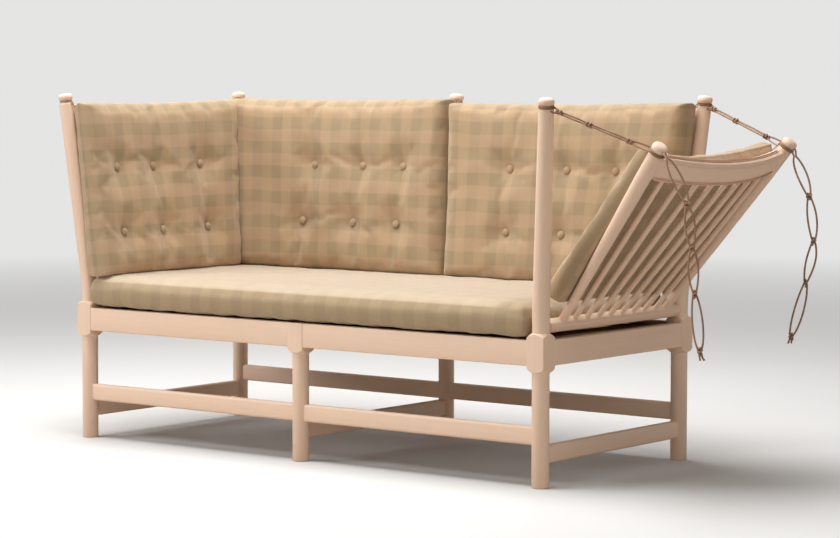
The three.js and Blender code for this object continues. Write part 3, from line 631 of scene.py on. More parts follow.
def turned(name, stations, sides=40):
    """Lathe work: rings of a given radius at given heights, pulled up one by one"""
    clear_bench()
    (rise, radius), *others = stations
    bpy.ops.mesh.primitive_circle_add(vertices=sides, radius=radius, fill_type="NGON", location=(0, 0, rise))
    piece = settle(named(name))
    with opened(piece):
        for height, reach in others:
            bpy.ops.mesh.extrude_region_move(TRANSFORM_OT_translate={"value": (0, 0, height - rise)})
            grow = reach / radius
            bpy.ops.transform.resize(value=(grow, grow, 1), center_override=(0, 0, height))
            rise, radius = height, reach
        face_outwards()
    return piece


def bar(name, extent, ease, segments=3):
    """Bar with eased edges along it, centred on the origin"""
    clear_bench()
    bpy.ops.mesh.primitive_cube_add(size=1)
    piece = named(name)
    piece.scale = extent
    with opened(settle(piece)):
        bpy.ops.mesh.select_all(action="DESELECT")
    length = max(extent)
    side = extent.index(length)
    return ease_edges(piece, lambda one, two: abs(one[side] - two[side]) > length / 2, ease, segments)


def knob_stations(length, shaft):
    """Collar, neck and knob at the end of a post or stile"""
    rise = length - KNOB_HEIGHT
    foot = rise - NECK_HEIGHT
    return [
        (foot - COLLAR_HEIGHT, shaft),
        (foot - 0.45 * COLLAR_HEIGHT, shaft * 0.985),
        (foot - 0.12 * COLLAR_HEIGHT, shaft * 0.94),
        (foot, NECK_RADIUS * 1.04),
        (foot + 0.2 * NECK_HEIGHT, NECK_RADIUS),
        (rise - 0.15 * NECK_HEIGHT, NECK_RADIUS),
        *((rise + up * KNOB_HEIGHT, out * KNOB_RADIUS) for up, out in KNOB_SHARES),
    ]


# Legs
def post_length(side):
    s = settings()
    lean = post_lean(side)
    rise = s.stand_height - s.bend_start - s.bend_length / lean * math.sin(lean)
    return s.bend_start + s.bend_length + rise / math.cos(lean)


def post_lean(side):
    return places().corner_lean if side else settings().splay


def post_place(side, row, along):
    """Place and tilt of a post's axis at a distance along it"""
    s = settings()
    at = places()
    lean = post_lean(side)
    turn = lean * min(max((along - s.bend_start) / s.bend_length, 0), 1)
    past = max(along - s.bend_start - s.bend_length, 0)
    radius = s.bend_length / lean
    out = radius * (1 - math.cos(turn)) + past * math.sin(turn)
    rise = min(along, s.bend_start) + radius * math.sin(turn) + past * math.cos(turn)
    course = Vector((side, row, 0.0)).normalized()
    foot = FRAME_MIDDLE + Vector((side * at.half_span, row * at.half_depth, rise))
    return foot + course * out, Quaternion(UP.cross(course), turn)


def leg_blank(name, length=None):
    """Straight leg: turned shaft, square block with curved shoulders, knob if it is a post"""
    s = settings()
    bottom = s.rail_top - s.rail_height + (s.rail_height - s.block_height) / 2
    top = bottom + s.block_height
    corner = s.block_width / 2 * math.sqrt(2) + 0.0005
    swell = corner - s.leg_radius
    curve = [(step * s.shoulder, s.leg_radius + swell * (1 - step ** 1.9)) for step in SHOULDER_STEPS]
    stations = [(rise, s.leg_radius - cut) for rise, cut in LEG_FOOT]
    stations += [(bottom - drop, reach) for drop, reach in curve]
    if length:
        stations += [(top + rise, reach) for rise, reach in reversed(curve)]
        bend = [s.bend_start + s.bend_length * step / BEND_STEPS for step in range(BEND_STEPS + 1)]
        stations += [(place, s.leg_radius) for place in bend]
        stations += knob_stations(length, COLLAR_RADIUS)
    else:
        stations += [(s.rail_top - 0.001, corner), (s.rail_top, corner)]
    blank = turned(name, stations, 48)
    square = bar(f"{name}_square", (s.block_width, s.block_width, 1.2), 0.0016)
    moved(square, Matrix.Translation((0, 0, 0.5)))
    modify(blank, "BOOLEAN", operation="INTERSECT", object=square, solver="EXACT")
    put_away(square)
    if not length:
        with opened(blank):
            bpy.ops.mesh.remove_doubles(threshold=0.00001)
    return blank


def bend_post(leg, side, row):
    """Steams a straight post over, ring by ring"""
    s = settings()
    course = UP.copy()
    tilt = Quaternion(UP.cross(Vector((side, row, 0.0)).normalized()), post_lean(side) / BEND_STEPS)
    hinge = Vector((0, 0, s.bend_start))
    for step in range(BEND_STEPS):
        hinge = hinge + course * s.bend_length * (0.5 if step == 0 else 1.0) / BEND_STEPS
        place = Matrix.Translation(hinge) @ tilt.to_matrix().to_4x4() @ Matrix.Translation(-hinge)
        for vertex in leg.data.vertices:
            if (vertex.co - hinge).dot(course) > 0:
                vertex.co = place @ vertex.co
        course = tilt @ course
    leg.data.update()
    return leg


class SOFA_OT_legs(bpy.types.Operator):
    """Turns the six legs and bends the five posts"""

    bl_idname = "sofa.legs"
    bl_label = "Legs"

    def execute(self, context):
        at = places()
        corner = leg_blank("corner_post", post_length(1))
        middle = leg_blank("middle_post", post_length(0))
        short = leg_blank("short_leg")
        for row_name, row in (("front", -1), ("rear", 1)):
            for side_name, side in SIDES.items():
                node = f"leg_{row_name}_{side_name}"
                blank = corner if side else middle if row > 0 else short
                leg = copy(blank, f"turned_{node}")
                if blank is not short:
                    bend_post(leg, side, row)
                moved(leg, floor_place(side * at.half_span, row * at.half_depth, 0))
                dress(smooth(leg, 38), "beech_upright", "frame", node)
        put_away(corner, middle, short)
        return {"FINISHED"}


class SOFA_OT_rails(bpy.types.Operator):
    """Planes the seat rails and the stretchers"""

    bl_idname = "sofa.rails"
    bl_label = "Rails and stretchers"

    def execute(self, context):
        s = settings()
        at = places()
        outer = s.block_width / 2 - s.rail_recess - s.rail_thickness / 2
        rail = s.rail_top - s.rail_height / 2
        socket = 2 * (s.leg_radius - STRETCHER_TENON)
        section = s.stretcher_thickness, s.stretcher_height
        long_rail = bar("long_rail", (at.half_span - s.block_width, s.rail_thickness, s.rail_height), RAIL_EASE)
        cross_rail = bar("cross_rail", (s.rail_thickness, s.leg_depth - s.block_width, s.rail_height), RAIL_EASE)
        long_board = bar("long_board", (at.half_span - socket, *section), BOARD_EASE, 5)
        cross_board = bar("cross_board", (section[0], s.leg_depth - socket, section[1]), BOARD_EASE, 5)
        work = []
        for row, front in (("front", -1), ("back", 1)):
            for side, end in (("left", -1), ("right", 1)):
                middle = end * at.half_span / 2
                depth = front * at.half_depth
                work.append((f"seat_rail_{row}_{side}", long_rail, middle, depth + front * outer, rail))
                work.append((f"stretcher_{row}_{side}", long_board, middle, depth, s.long_stretcher))
        for side, end in SIDES.items():
            work.append((f"seat_rail_side_{side}", cross_rail, end * (at.half_span + outer), 0, rail))
            work.append((f"stretcher_side_{side}", cross_board, end * at.half_span, 0, s.cross_stretcher))
        for node, model, *spot in work:
            way = "beech_lengthways" if model in (long_rail, long_board) else "beech_crossways"
            dress(smooth(placed(model, f"planed_{node}", floor_place(*spot)), 40), way, "frame", node)
        put_away(long_rail, cross_rail, long_board, cross_board)
        return {"FINISHED"}


# Spoke panels
def panel_frame(panel):
    """Frame of a spoke panel: X points outwards, Y runs along it and Z up it"""
    at = places()
    x, y, yaw, lean = {
        "arm_left": (-at.half_span, 0.0, math.pi, at.lean),
        "back_left": (-at.half_span / 2, at.half_depth, QUARTER, at.lean),
        "back_right": (at.half_span / 2, at.half_depth, QUARTER, at.lean),
        "drop_arm": (at.half_span, 0.0, 0.0, ARM_LEAN),
    }[panel]
    place = floor_place(x, y, settings().foot_rail_centre)
    return place @ Matrix.Rotation(yaw, 4, "Z") @ Matrix.Rotation(lean, 4, "Y")


def panel_half(panel):
    at = places()
    return {"arm_left": at.half_depth, "drop_arm": ARM_SPREAD / 2}.get(panel, at.half_span / 2)


def top_ends(panel):
    """Where a panel's top rail starts and ends"""
    at = places()
    half = panel_half(panel)
    if panel == "drop_arm":
        reach = half + at.top_middle * math.tan(ARM_FAN)
        return -reach, reach
    flares = {"arm_left": (1, 1), "back_left": (0, 1), "back_right": (1, 0)}[panel]
    return -half - flares[0] * at.flare, half + flares[1] * at.flare


def foot_rail(name, half):
    return bar(name, (FOOT_RAIL_WIDTH, 2 * half, FOOT_RAIL_HEIGHT), FOOT_RAIL_EASE, 6)


def bow_at(step):
    return settings().top_rail_bow * (1 - (2 * step - 1) ** 2)


def top_rail(name, panel, steps=28):
    """Bowed rail: its section is drawn once and pulled along the bow"""
    s = settings()
    start, end = top_ends(panel)
    length = 0.1
    model = bar(name, (s.top_rail_thickness, length, s.top_rail_height), 0.0022, 2)
    crest = s.top_rail_height / 2 - 0.0001
    cuts = [length * (step / steps - 0.5) for step in range(1, steps)]
    ease_edges(model, lambda one, two: min(one.z, two.z) > crest and abs(one.y - two.y) > length / 2, BOARD_EASE, 5,
               cuts)
    for vertex in model.data.vertices:
        along = vertex.co.y / length + 0.5
        turn = math.atan(-4 * s.top_rail_bow * (2 * along - 1) / (end - start))
        x, _, z = vertex.co
        vertex.co = (bow_at(along) + x * math.cos(turn), start + (end - start) * along - x * math.sin(turn),
                     z + places().top_middle)
    model.data.update()
    return smooth(moved(model, panel_frame(panel)), 40)


def spoke_model():
    """One turned spoke of unit length, fullest at its middle"""
    radius = settings().spoke_radius
    swell = [(step / 8, radius * (0.885 + 0.115 * math.sin(math.pi * step / 8))) for step in range(9)]
    return turned("spoke", swell, 18)


def spoke_on(model, name, panel, step, foot):
    half = panel_half(panel)
    start, end = top_ends(panel)
    low = Vector((0, half * (2 * step - 1), 0))
    high = Vector((bow_at(step), start + (end - start) * step, places().top_foot + 0.004))
    low = low + (high - low) * (foot / high.z)
    course = high - low
    stretch = Matrix.Diagonal((1, 1, course.length, 1))
    return placed(model, name, panel_frame(panel) @ Matrix.Translation(low) @ turn_to(course) @ stretch)


class SOFA_OT_spoke_panels(bpy.types.Operator):
    """Builds the fixed panels of the back and of the left arm"""

    bl_idname = "sofa.spoke_panels"
    bl_label = "Spoke panels"

    def execute(self, context):
        model = spoke_model()
        for panel, count in (("arm_left", 11), ("back_left", 14), ("back_right", 14)):
            way = "beech_crossways" if panel == "arm_left" else "beech_lengthways"
            foot = foot_rail(f"foot_rail_{panel}", panel_half(panel) - settings().leg_radius + 0.006)
            paint(moved(foot, panel_frame(panel)), way)
            spokes = [spoke_on(model, f"spoke_{k}", panel, (k + 1) / (count + 1), 0.0) for k in range(count)]
            for spoke in spokes:
                paint(spoke, "beech_upright")
            comb = smooth(join(f"turned_spoke_comb_{panel}", [foot, *spokes]), 40)
            enter(comb, "beech", "frame", f"spoke_comb_{panel}")
            dress(top_rail(f"bowed_top_rail_{panel}", panel), way, "frame", f"top_rail_{panel}")
        put_away(model)
        return {"FINISHED"}


def stile_place(end, along):
    """Place and tilt of a stile's axis, in the drop arm's own frame"""
    way = Vector((0, end * math.tan(ARM_FAN), 1)).normalized()
    return Vector((0, end * ARM_SPREAD / 2, 0)) + way * along, UP.rotation_difference(way)


class SOFA_OT_drop_arm(bpy.types.Operator):
    """Builds the drop arm: foot rail, stiles, spokes and bowed top rail"""

    bl_idname = "sofa.drop_arm"
    bl_label = "Drop arm"

    def execute(self, context):
        at = places()
        arm = panel_frame("drop_arm")
        half = at.half_depth - settings().leg_radius - ARM_AIR
        foot = foot_rail("drop_arm_foot", half)
        ease_edges(foot, lambda one, two: min(abs(one.y), abs(two.y)) > half - 0.0001, 0.0022)
        dress(smooth(moved(foot, arm), 40), "beech_crossways", "drop_arm", "drop_arm_foot_rail")
        shaft = [(0.009, STILE_RADIUS), *((rise * at.stile, out * STILE_RADIUS) for rise, out in STILE_SHARES)]
        stile = turned("stile", [*shaft, *knob_stations(at.stile, shaft[-1][1])])
        for side, end in (("front", -1), ("rear", 1)):
            centre, tilt = stile_place(end, 0.0)
            place = arm @ Matrix.Translation(centre) @ tilt.to_matrix().to_4x4()
            twin = smooth(placed(stile, f"turned_drop_arm_stile_{side}", place), 38)
            dress(twin, "beech_drop_arm", "drop_arm", f"drop_arm_stile_{side}")
        crest = top_rail("bowed_drop_arm_top_rail", "drop_arm")
        dress(crest, "beech_crossways", "drop_arm", "drop_arm_top_rail")
        model = spoke_model()
        for k in range(1, 9):
            spoke = smooth(spoke_on(model, f"turned_drop_arm_spoke_{k}", "drop_arm", k / 9, 0.011), 40)
            dress(spoke, "beech_drop_arm", "drop_arm", f"drop_arm_spoke_{k}")
        put_away(model, stile)
        return {"FINISHED"}


# Cushions
def edge_steps(length, step, zone=0.024, cells=5):
    """Places over a cushion from edge to edge, with the cloth's own length at each"""
    low = [zone * (k / cells) ** 1.4 for k in range(cells)]
    inner = length - 2 * zone
    count = max(2, round(inner / step))
    middle = [zone + inner * k / count for k in range(count + 1)]
    high = [length - place for place in reversed(low)]
    return [(2 * place / length - 1, place - length / 2) for place in (*low, *middle, *high)]


def blend_of(pair, share):
    return pair[0] + (pair[1] - pair[0]) * share


def bump_at(place, reach):
    return math.exp(-((place / reach) ** 2))


def fall(place, extent, radii):
    """How far the cover drops back near an edge"""
    radius = radii[0] if place < 0 else radii[1]
    reach = (1 - abs(place)) * extent / (2 * radius)
    return radius * (1 - math.sqrt(1 - (1 - reach) ** 2)) if reach < 1 else 0.0


def dip(aside, above, number, length):
    """Depths of the cover in and round a button's pit, and in the fold that runs away from it"""
    if math.hypot(aside, above) > PIT_LIMIT:
        return 0.0, 0.0
    far = math.hypot(aside, above * 0.85)
    reach = 0.09 + 0.02 * math.sin(5 * number)
    offset = aside - 0.22 * math.sin(3.1 * number + length * 40) * above
    fade = bump_at(above, reach) * (1 - bump_at(above, 0.012))
    fold = fade * (bump_at(offset, FOLD_WIDTH) - 0.5 * bump_at(offset + RIDGE_PLACE, RIDGE_WIDTH))
    return PIT_DEPTH * bump_at(far, PIT_WIDTH) + HOLLOW_DEPTH * bump_at(far, HOLLOW_WIDTH), FOLD_DEPTH * fold


def mesh_cushion(name, shape, step=0.0095, rows=4):
    """Closed cover: a grid for its face, drawn out row by row to its back"""
    edges = (bpy.context.scene.sofa_cushions.edge_round,) * 2
    shape = SimpleNamespace(**{**PLAIN_CUSHION, "ends": edges, "brims": edges, **shape})
    foot, top, feet, tops = shape.foot, shape.top, shape.feet, shape.tops
    length = (foot[1] - foot[0] + top[1] - top[0]) / 2
    height = (tops[0] + tops[1] - feet[0] - feet[1]) / 2
    across = edge_steps(length, step)
    upward = edge_steps(height, step)
    wide, high = len(across) - 1, len(upward) - 1
    clear_bench()
    bpy.ops.mesh.primitive_grid_add(x_subdivisions=wide, y_subdivisions=high, size=2)
    obj = named(name)
    with opened(obj):
        for _ in range(rows):
            bpy.ops.mesh.extrude_region_move(TRANSFORM_OT_translate={"value": (0, 0, 2 / rows)})
        face_outwards()
    pits = [(2 * along - 1, 2 * rise - 1) for rise, row in shape.buttons.items() for along in row]

    def spot(a, b, c):
        along, rise = (a + 1) / 2, (b + 1) / 2
        thick = shape.thickness[0] * (1 - rise) + shape.thickness[1] * rise
        back = c >= 0
        drop = math.hypot(fall(a, length, shape.ends), fall(b, height, shape.brims)) * (shape.under if back else 1.0)
        reach = max(thick / 2 - drop, 0.004)
        if abs(c) == 1:
            stuffed = (1 - a ** 4) * (1 - b ** 4) * (shape.back_crown if back else shape.crown)
            lumps = LUMP_HEIGHT * noise.noise(Vector((a * length * 9, b * height * 9, c * 3 + length)))
            deep = 0.0
            for number, (column, row) in enumerate(pits):
                pit, fold = dip((a - column) * length / 2, (b - row) * height / 2, number, length)
                deep = deep + pit + fold
            reach = (reach + (stuffed + lumps) - deep * (BACK_PIT if back else 1.0)) * c
        else:
            reach *= c
        y, z = (blend_of(low, along) * (1 - rise) + blend_of(high, along) * rise
                for low, high in ((foot, top), (feet, tops)))
        pull = CORNER_PULL * (abs(a) * abs(b)) ** 6
        push = [SIDE_SWELL * (1 - c * c) * math.copysign(1, place) if abs(place) == 1 else 0.0 for place in (a, b)]
        return Vector((
            -shape.back - thick / 2 + reach + shape.bow * (1 - a * a) * rise,
            y - a * EDGE_HOLLOW * (1 - b * b) - math.copysign(1, a) * pull + push[0],
            z - b * (shape.top_hollow if b > 0 else EDGE_HOLLOW) * (1 - a * a) - math.copysign(1, b) * pull + push[1],
        ))

    grid = []
    for vertex in obj.data.vertices:
        x, y, z = vertex.co
        grid.append((round((x + 1) / 2 * wide), round((y + 1) / 2 * high), z - 1))
    for vertex, (i, j, c) in zip(obj.data.vertices, grid):
        level = round(c * rows / 2) * 2 / rows
        vertex.co = spot(across[i][0], upward[j][0], max(-1.0, min(1.0, level)))
    lay_cloth(obj, grid, across, upward, shape)
    obj.data.update()
    with opened(obj):
        face_outwards()
    pins = []
    for column, row in pits:
        i = min(range(wide + 1), key=lambda k: abs(across[k][0] - column))
        j = min(range(high + 1), key=lambda k: abs(upward[k][0] - row))
        pins.append((i, j))
    return obj, grid, pins


def lay_cloth(obj, grid, across, upward, shape):
    """Measures the cloth over the cover; the strips round its edges are cut along one band"""
    mesh = obj.data
    while mesh.uv_layers:
        mesh.uv_layers.remove(mesh.uv_layers[0])
    layer = mesh.uv_layers.new(name="cloth")
    wide = len(across) - 1
    dark = -bpy.context.scene.sofa_cushions.check / 4
    strip = dark if shape.dark_strips else -dark
    highest = upward[-1][1] + shape.cloth
    past = highest % (-4 * dark) + 2 * dark
    limit = highest - past - 0.003 if 0 < past < 0.012 else highest
    for face in mesh.polygons:
        spots = [grid[k] for k in face.vertices]
        flat = all(c == spots[0][2] for _, _, c in spots)
        at_side = all(i == spots[0][0] for i, _, _ in spots) and spots[0][0] in (0, wide)
        for loop, (i, j, c) in zip(face.loop_indices, spots):
            depth = (c + 1) * shape.thickness[0] / 2
            u, v = across[i][1], min(upward[j][1] + shape.cloth, limit)
            if not flat and at_side:
                u = math.copysign(abs(u) + depth, u)
                v = dark if shape.plain_ends else v
            elif not flat:
                v = strip + depth * 0.1
            layer.data[loop].uv = (u, v)


def fill_cushion(obj, grid, pins, cap, slack=0.02):
    """Blows the cover up a little while its buttons and edges hold it"""
    held = obj.vertex_groups.new(name="held")
    wide, high = max(i for i, _, _ in grid), max(j for _, j, _ in grid)
    for k, (i, j, c) in enumerate(grid):
        at_rim = min(i, wide - i, j, high - j) == 0
        hold = PIN_HOLD if (i, j) in pins else RIM_HOLD if at_rim else BACK_HOLD if c >= 1 else 0.0
        if hold:
            held.add([k], hold, "REPLACE")
    before = [vertex.co.copy() for vertex in obj.data.vertices]
    scene = bpy.context.scene
    take(obj)
    bpy.ops.object.modifier_add(type="CLOTH")
    modifier = obj.modifiers[-1]
    modifier.settings.uniform_pressure_force = scene.sofa_cushions.pressure
    modifier.settings.effector_weights.gravity = 0.0
    modifier.settings.shrink_min = -slack
    for name, value in CLOTH.items():
        setattr(modifier.settings, name, value)
    for number in range(1, FILL_FRAMES + 1):
        scene.frame_set(number)
    bpy.ops.object.modifier_apply(modifier=modifier.name)
    scene.frame_set(1)
    for vertex, start in zip(obj.data.vertices, before):
        shift = vertex.co - start
        if shift.length > cap:
            vertex.co = start + shift * (cap / shift.length)
    obj.vertex_groups.clear()


def clear_posts(obj, matrix, posts, gap=0.0008):
    """Presses the cover round the posts that it leans on"""
    back = matrix.inverted()
    for axis_low, axis_high, radius in posts:
        low, high = back @ axis_low, back @ axis_high
        way = (high - low).normalized()
        for vertex in obj.data.vertices:
            reach = vertex.co - low
            off = reach - way * reach.dot(way)
            if off.length < radius + gap:
                vertex.co += off.normalized() * (radius + gap - off.length)


def post_lines():
    """Axes and radii of the posts above their bends"""
    s = settings()
    bend = s.bend_start + s.bend_length
    lines = []
    for side, row in ((-1, -1), (1, -1), (-1, 1), (0, 1), (1, 1)):
        low, high = (post_place(side, row, along)[0] for along in (bend, post_length(side)))
        lines.append((low, high, s.leg_radius - 0.0005))
    return lines


def stile_lines():
    """Axes and radii of the drop arm's stiles"""
    arm = panel_frame("drop_arm")
    lines = []
    for end in (-1, 1):
        low, high = (arm @ stile_place(end, along)[0] for along in (0.0, places().stile))
        lines.append((low, high, STILE_CLEARANCE))
    return lines


def sew_buttons(model, obj, name, grid, pins, matrix, body):
    """Buttons in the pits of a cushion's face"""
    made = []
    spots = {(i, j): k for k, (i, j, c) in enumerate(grid) if c <= -1 and (i, j) in pins}
    for number, pin in enumerate(pins):
        place = Matrix.Translation(obj.data.vertices[spots[pin]].co + Vector((-0.003, 0, 0)))
        made.append(placed(model, f"{name}_{number}", matrix @ place @ turn_to(Vector((-1.0, 0.0, 0.0)))))
    buttons = join(name, made)
    layers = buttons.data.uv_layers
    layer = layers[0] if layers else layers.new(name="cloth")
    layer.name = "cloth"
    for loop in buttons.data.loops:
        co = buttons.data.vertices[loop.vertex_index].co
        layer.data[loop.index].uv = (co.x + co.y, co.z)
    modify(smooth(buttons, 60), "SUBSURF", levels=1, render_levels=1)
    return dress(buttons, "check_cloth_woven", body)


def cushion_shapes():
    """Outlines of the upright cushions, seen from the sofa: feet and tops rise, foot and top run along"""
    s = settings()
    c = bpy.context.scene.sofa_cushions
    at = places()
    stand = s.rail_top + CUSHION_LIFT + c.seat_thickness - 0.0032 - s.foot_rail_centre
    back = s.leg_radius + 0.0003 - 0.004
    corner = at.half_depth - c.back_thickness
    quarter = at.half_span / 2
    front = at.half_depth + 0.0202
    drop_front = 0.0368 - at.half_depth
    upright = {"back": back, "thickness": (c.back_thickness, c.back_thickness), "bow": 0.012,
               "feet": (stand - 0.0006, stand - 0.0006)}
    return {
        "back_left": {
            **upright, "foot": (-quarter - 0.040, quarter - 0.026), "top": (-quarter - 0.024, quarter + 0.004),
            "tops": (at.crest + 0.013, at.crest + 0.009), "ends": (0.019, c.edge_round),
            "buttons": BACK_LEFT_BUTTONS, "cloth": 0.022,
        },
        "back_right": {
            **upright, "foot": (-quarter - 0.006, quarter - 0.045), "top": (-quarter - 0.039, quarter - 0.034),
            "tops": (at.crest + 0.009, at.crest + 0.003), "ends": (0.018, c.edge_round),
            "buttons": BACK_RIGHT_BUTTONS, "cloth": 0.023, "squash": (1, (1, 0, 0), 0.96),
        },
        "arm_left": {
            "back": back, "thickness": (0.077, 0.056), "bow": 0.009, "feet": (stand, stand),
            "foot": (0.018 - corner, front + 0.010), "top": (-0.042 - corner, front + 0.024),
            "tops": (at.crest + 0.007, at.crest + 0.003), "ends": (0.009, 0.022),
            "buttons": ARM_BUTTONS, "cloth": 0.031,
        },
        "drop_arm": {
            "back": s.top_rail_thickness / 2 + 0.0007, "thickness": (0.054, 0.046), "feet": (stand + 0.004,) * 2,
            "foot": (drop_front, corner - 0.008), "top": (drop_front - 0.004, corner + 0.054),
            "tops": (at.crest - 0.011, at.crest - 0.006), "ends": (0.009, 0.012), "brims": (c.edge_round, 0.018),
            "buttons": DROP_BUTTONS, "top_hollow": 0.030, "plain_ends": True, "squash": (0, (0, 1, 0), 0.94),
        },
    }


class SOFA_OT_seat_cushion(bpy.types.Operator):
    """Makes the long seat cushion"""

    bl_idname = "sofa.seat_cushion"
    bl_label = "Seat cushion"

    def execute(self, context):
        s = settings()
        c = context.scene.sofa_cushions
        at = places()
        half = at.half_span - 0.027
        shape = {
            "back": 0.0, "thickness": (c.seat_thickness,) * 2, "foot": (-half, half), "top": (-half, half),
            "feet": (-at.half_depth - 0.030,) * 2, "tops": (at.half_depth - 0.027,) * 2, "dark_strips": True,
            "ends": (c.seat_round,) * 2, "brims": (c.seat_round,) * 2,
            "crown": 0.006, "back_crown": 0.0065, "under": 0.55,
        }
        obj, grid, pins = mesh_cushion("seat_cushion", shape, 0.0115)
        fill_cushion(obj, grid, pins, 0.004, 0.012)
        modify(obj, "SUBSURF", levels=1, render_levels=1)
        lying = Matrix(((0, -1, 0), (0, 0, 1), (-1, 0, 0))).to_4x4()
        moved(obj, floor_place(0, 0, s.rail_top + CUSHION_LIFT) @ lying)
        # The seat's cloth has a painted highlight on its top
        dress(smooth(obj, 180), "check_cloth_top_highlight", "frame", "cushion_seat")
        return {"FINISHED"}


class SOFA_OT_back_and_arm_cushions(bpy.types.Operator):
    """Makes the buttoned cushions of the back and of both arms"""

    bl_idname = "sofa.back_and_arm_cushions"
    bl_label = "Back and arm cushions"

    def execute(self, context):
        radius = context.scene.sofa_cushions.button_radius
        button = turned("button", [(rise * BUTTON_HEIGHT, reach * radius) for rise, reach in BUTTON_SHARES], 20)
        posts = post_lines()
        for panel, shape in cushion_shapes().items():
            node = f"cushion_{panel}"
            body = "drop_arm" if panel == "drop_arm" else "frame"
            matrix = panel_frame(panel)
            obj, grid, pins = mesh_cushion(f"buttoned_{node}", shape)
            fill_cushion(obj, grid, pins, 0.007, 0.015)
            clear_posts(obj, matrix, stile_lines() if panel == "drop_arm" else posts)
            buttons = sew_buttons(button, obj, f"buttons_{panel}", grid, pins, matrix, body)
            modify(obj, "SUBSURF", levels=1, render_levels=1)
            dress(smooth(moved(obj, matrix), 180), "check_cloth_woven", body, node)
            if "squash" in shape:
                for piece in (obj, buttons):
                    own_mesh(piece)
        put_away(button)
        return {"FINISHED"}


# Laces
def neck_along(length):
    """Middle of the neck under a knob, along a post or stile"""
    return length - KNOB_HEIGHT - NECK_HEIGHT / 2


def necks():
    """Necks that the laces loop round: the posts' and the drop arm's"""
    arm = panel_frame("drop_arm")
    found = {}
    for side, row in (("front", -1), ("rear", 1)):
        centre, tilt = stile_place(row, neck_along(places().stile))
        post = post_place(1, row, neck_along(post_length(1)))
        found[side] = (post, (arm @ centre, arm.to_quaternion() @ tilt))
    return found


def lace(name, runs, radius, sides=2):
    """Round lace along one or more runs of points"""
    clear_bench()
    line = bpy.data.curves.new(name, "CURVE")
    line.dimensions = "3D"
    line.bevel_depth = radius
    line.bevel_resolution = sides
    line.use_fill_caps = True
    for points, closed in runs:
        spline = line.splines.new("POLY")
        spline.points.add(len(points) - 1)
        for point, spot in zip(spline.points, points):
            point.co = (*spot, 1.0)
        spline.use_cyclic_u = closed
    obj = bpy.data.objects.new(name, line)
    bpy.context.collection.objects.link(obj)
    take(obj)
    bpy.ops.object.convert(target="MESH")
    return named(name)


def through(marks, steps):
    """Smooth run of points through marks, with the mark and the share of the way to the next at each"""
    run = []
    for k in range(len(marks) - 1):
        before, after = marks[max(k - 1, 0)], marks[min(k + 2, len(marks) - 1)]
        low, high = marks[k], marks[k + 1]
        count = steps[min(k, len(steps) - 1)]
        for step in range(count):
            t = step / count
            point = 0.5 * (2 * low + (high - before) * t + (2 * before - 5 * low + 4 * high - after) * t * t
                           + (3 * low - before - 3 * high + after) * t ** 3)
            run.append((point, k, t))
    run.append((marks[-1], len(marks) - 2, 1.0))
    return run


def knot_model():
    """Overhand knot: the laces' two turns round themselves, drawn tight"""
    laces = bpy.context.scene.sofa_laces
    points = []
    for step in range(49):
        t = step / 48
        angle = 2 * math.pi * KNOT_TURNS * t - 0.6
        reach = laces.knot_radius * (0.45 + 0.55 * math.sin(math.pi * t) ** 0.45)
        along = KNOT_LENGTH * (t - 0.5) + 0.0016 * math.sin(2 * angle)
        points.append(Vector((math.cos(angle) * reach, math.sin(angle) * reach * 0.8, along)))
    return lace("knot", [(points, False)], laces.lace_radius)


def tie_knots(model, name, spots, way, spin):
    """Numbered knots along a lace, joined"""
    knots = []
    for k, place in spots:
        matrix = Matrix.Translation(place) @ turn_to(way) @ Matrix.Rotation(spin * k, 4, "Z")
        knots.append(placed(model, f"knot_{k}", matrix))
    return smooth(join(name, knots), 60)


def round_neck(centre, tilt, reach, angles):
    """Points round a neck"""
    return [centre + tilt @ Vector((math.cos(angle) * reach, math.sin(angle) * reach, 0)) for angle in angles]


def string(name, points, radius, sides=2):
    """One lace or tie on its own course"""
    return smooth(lace(name, [(points, False)], radius, sides), 60)


def declare_cord(points):
    """Measures the length of a strand's course, and keeps nothing"""
    length = sum((second - first).length for first, second in zip(points, points[1:]))


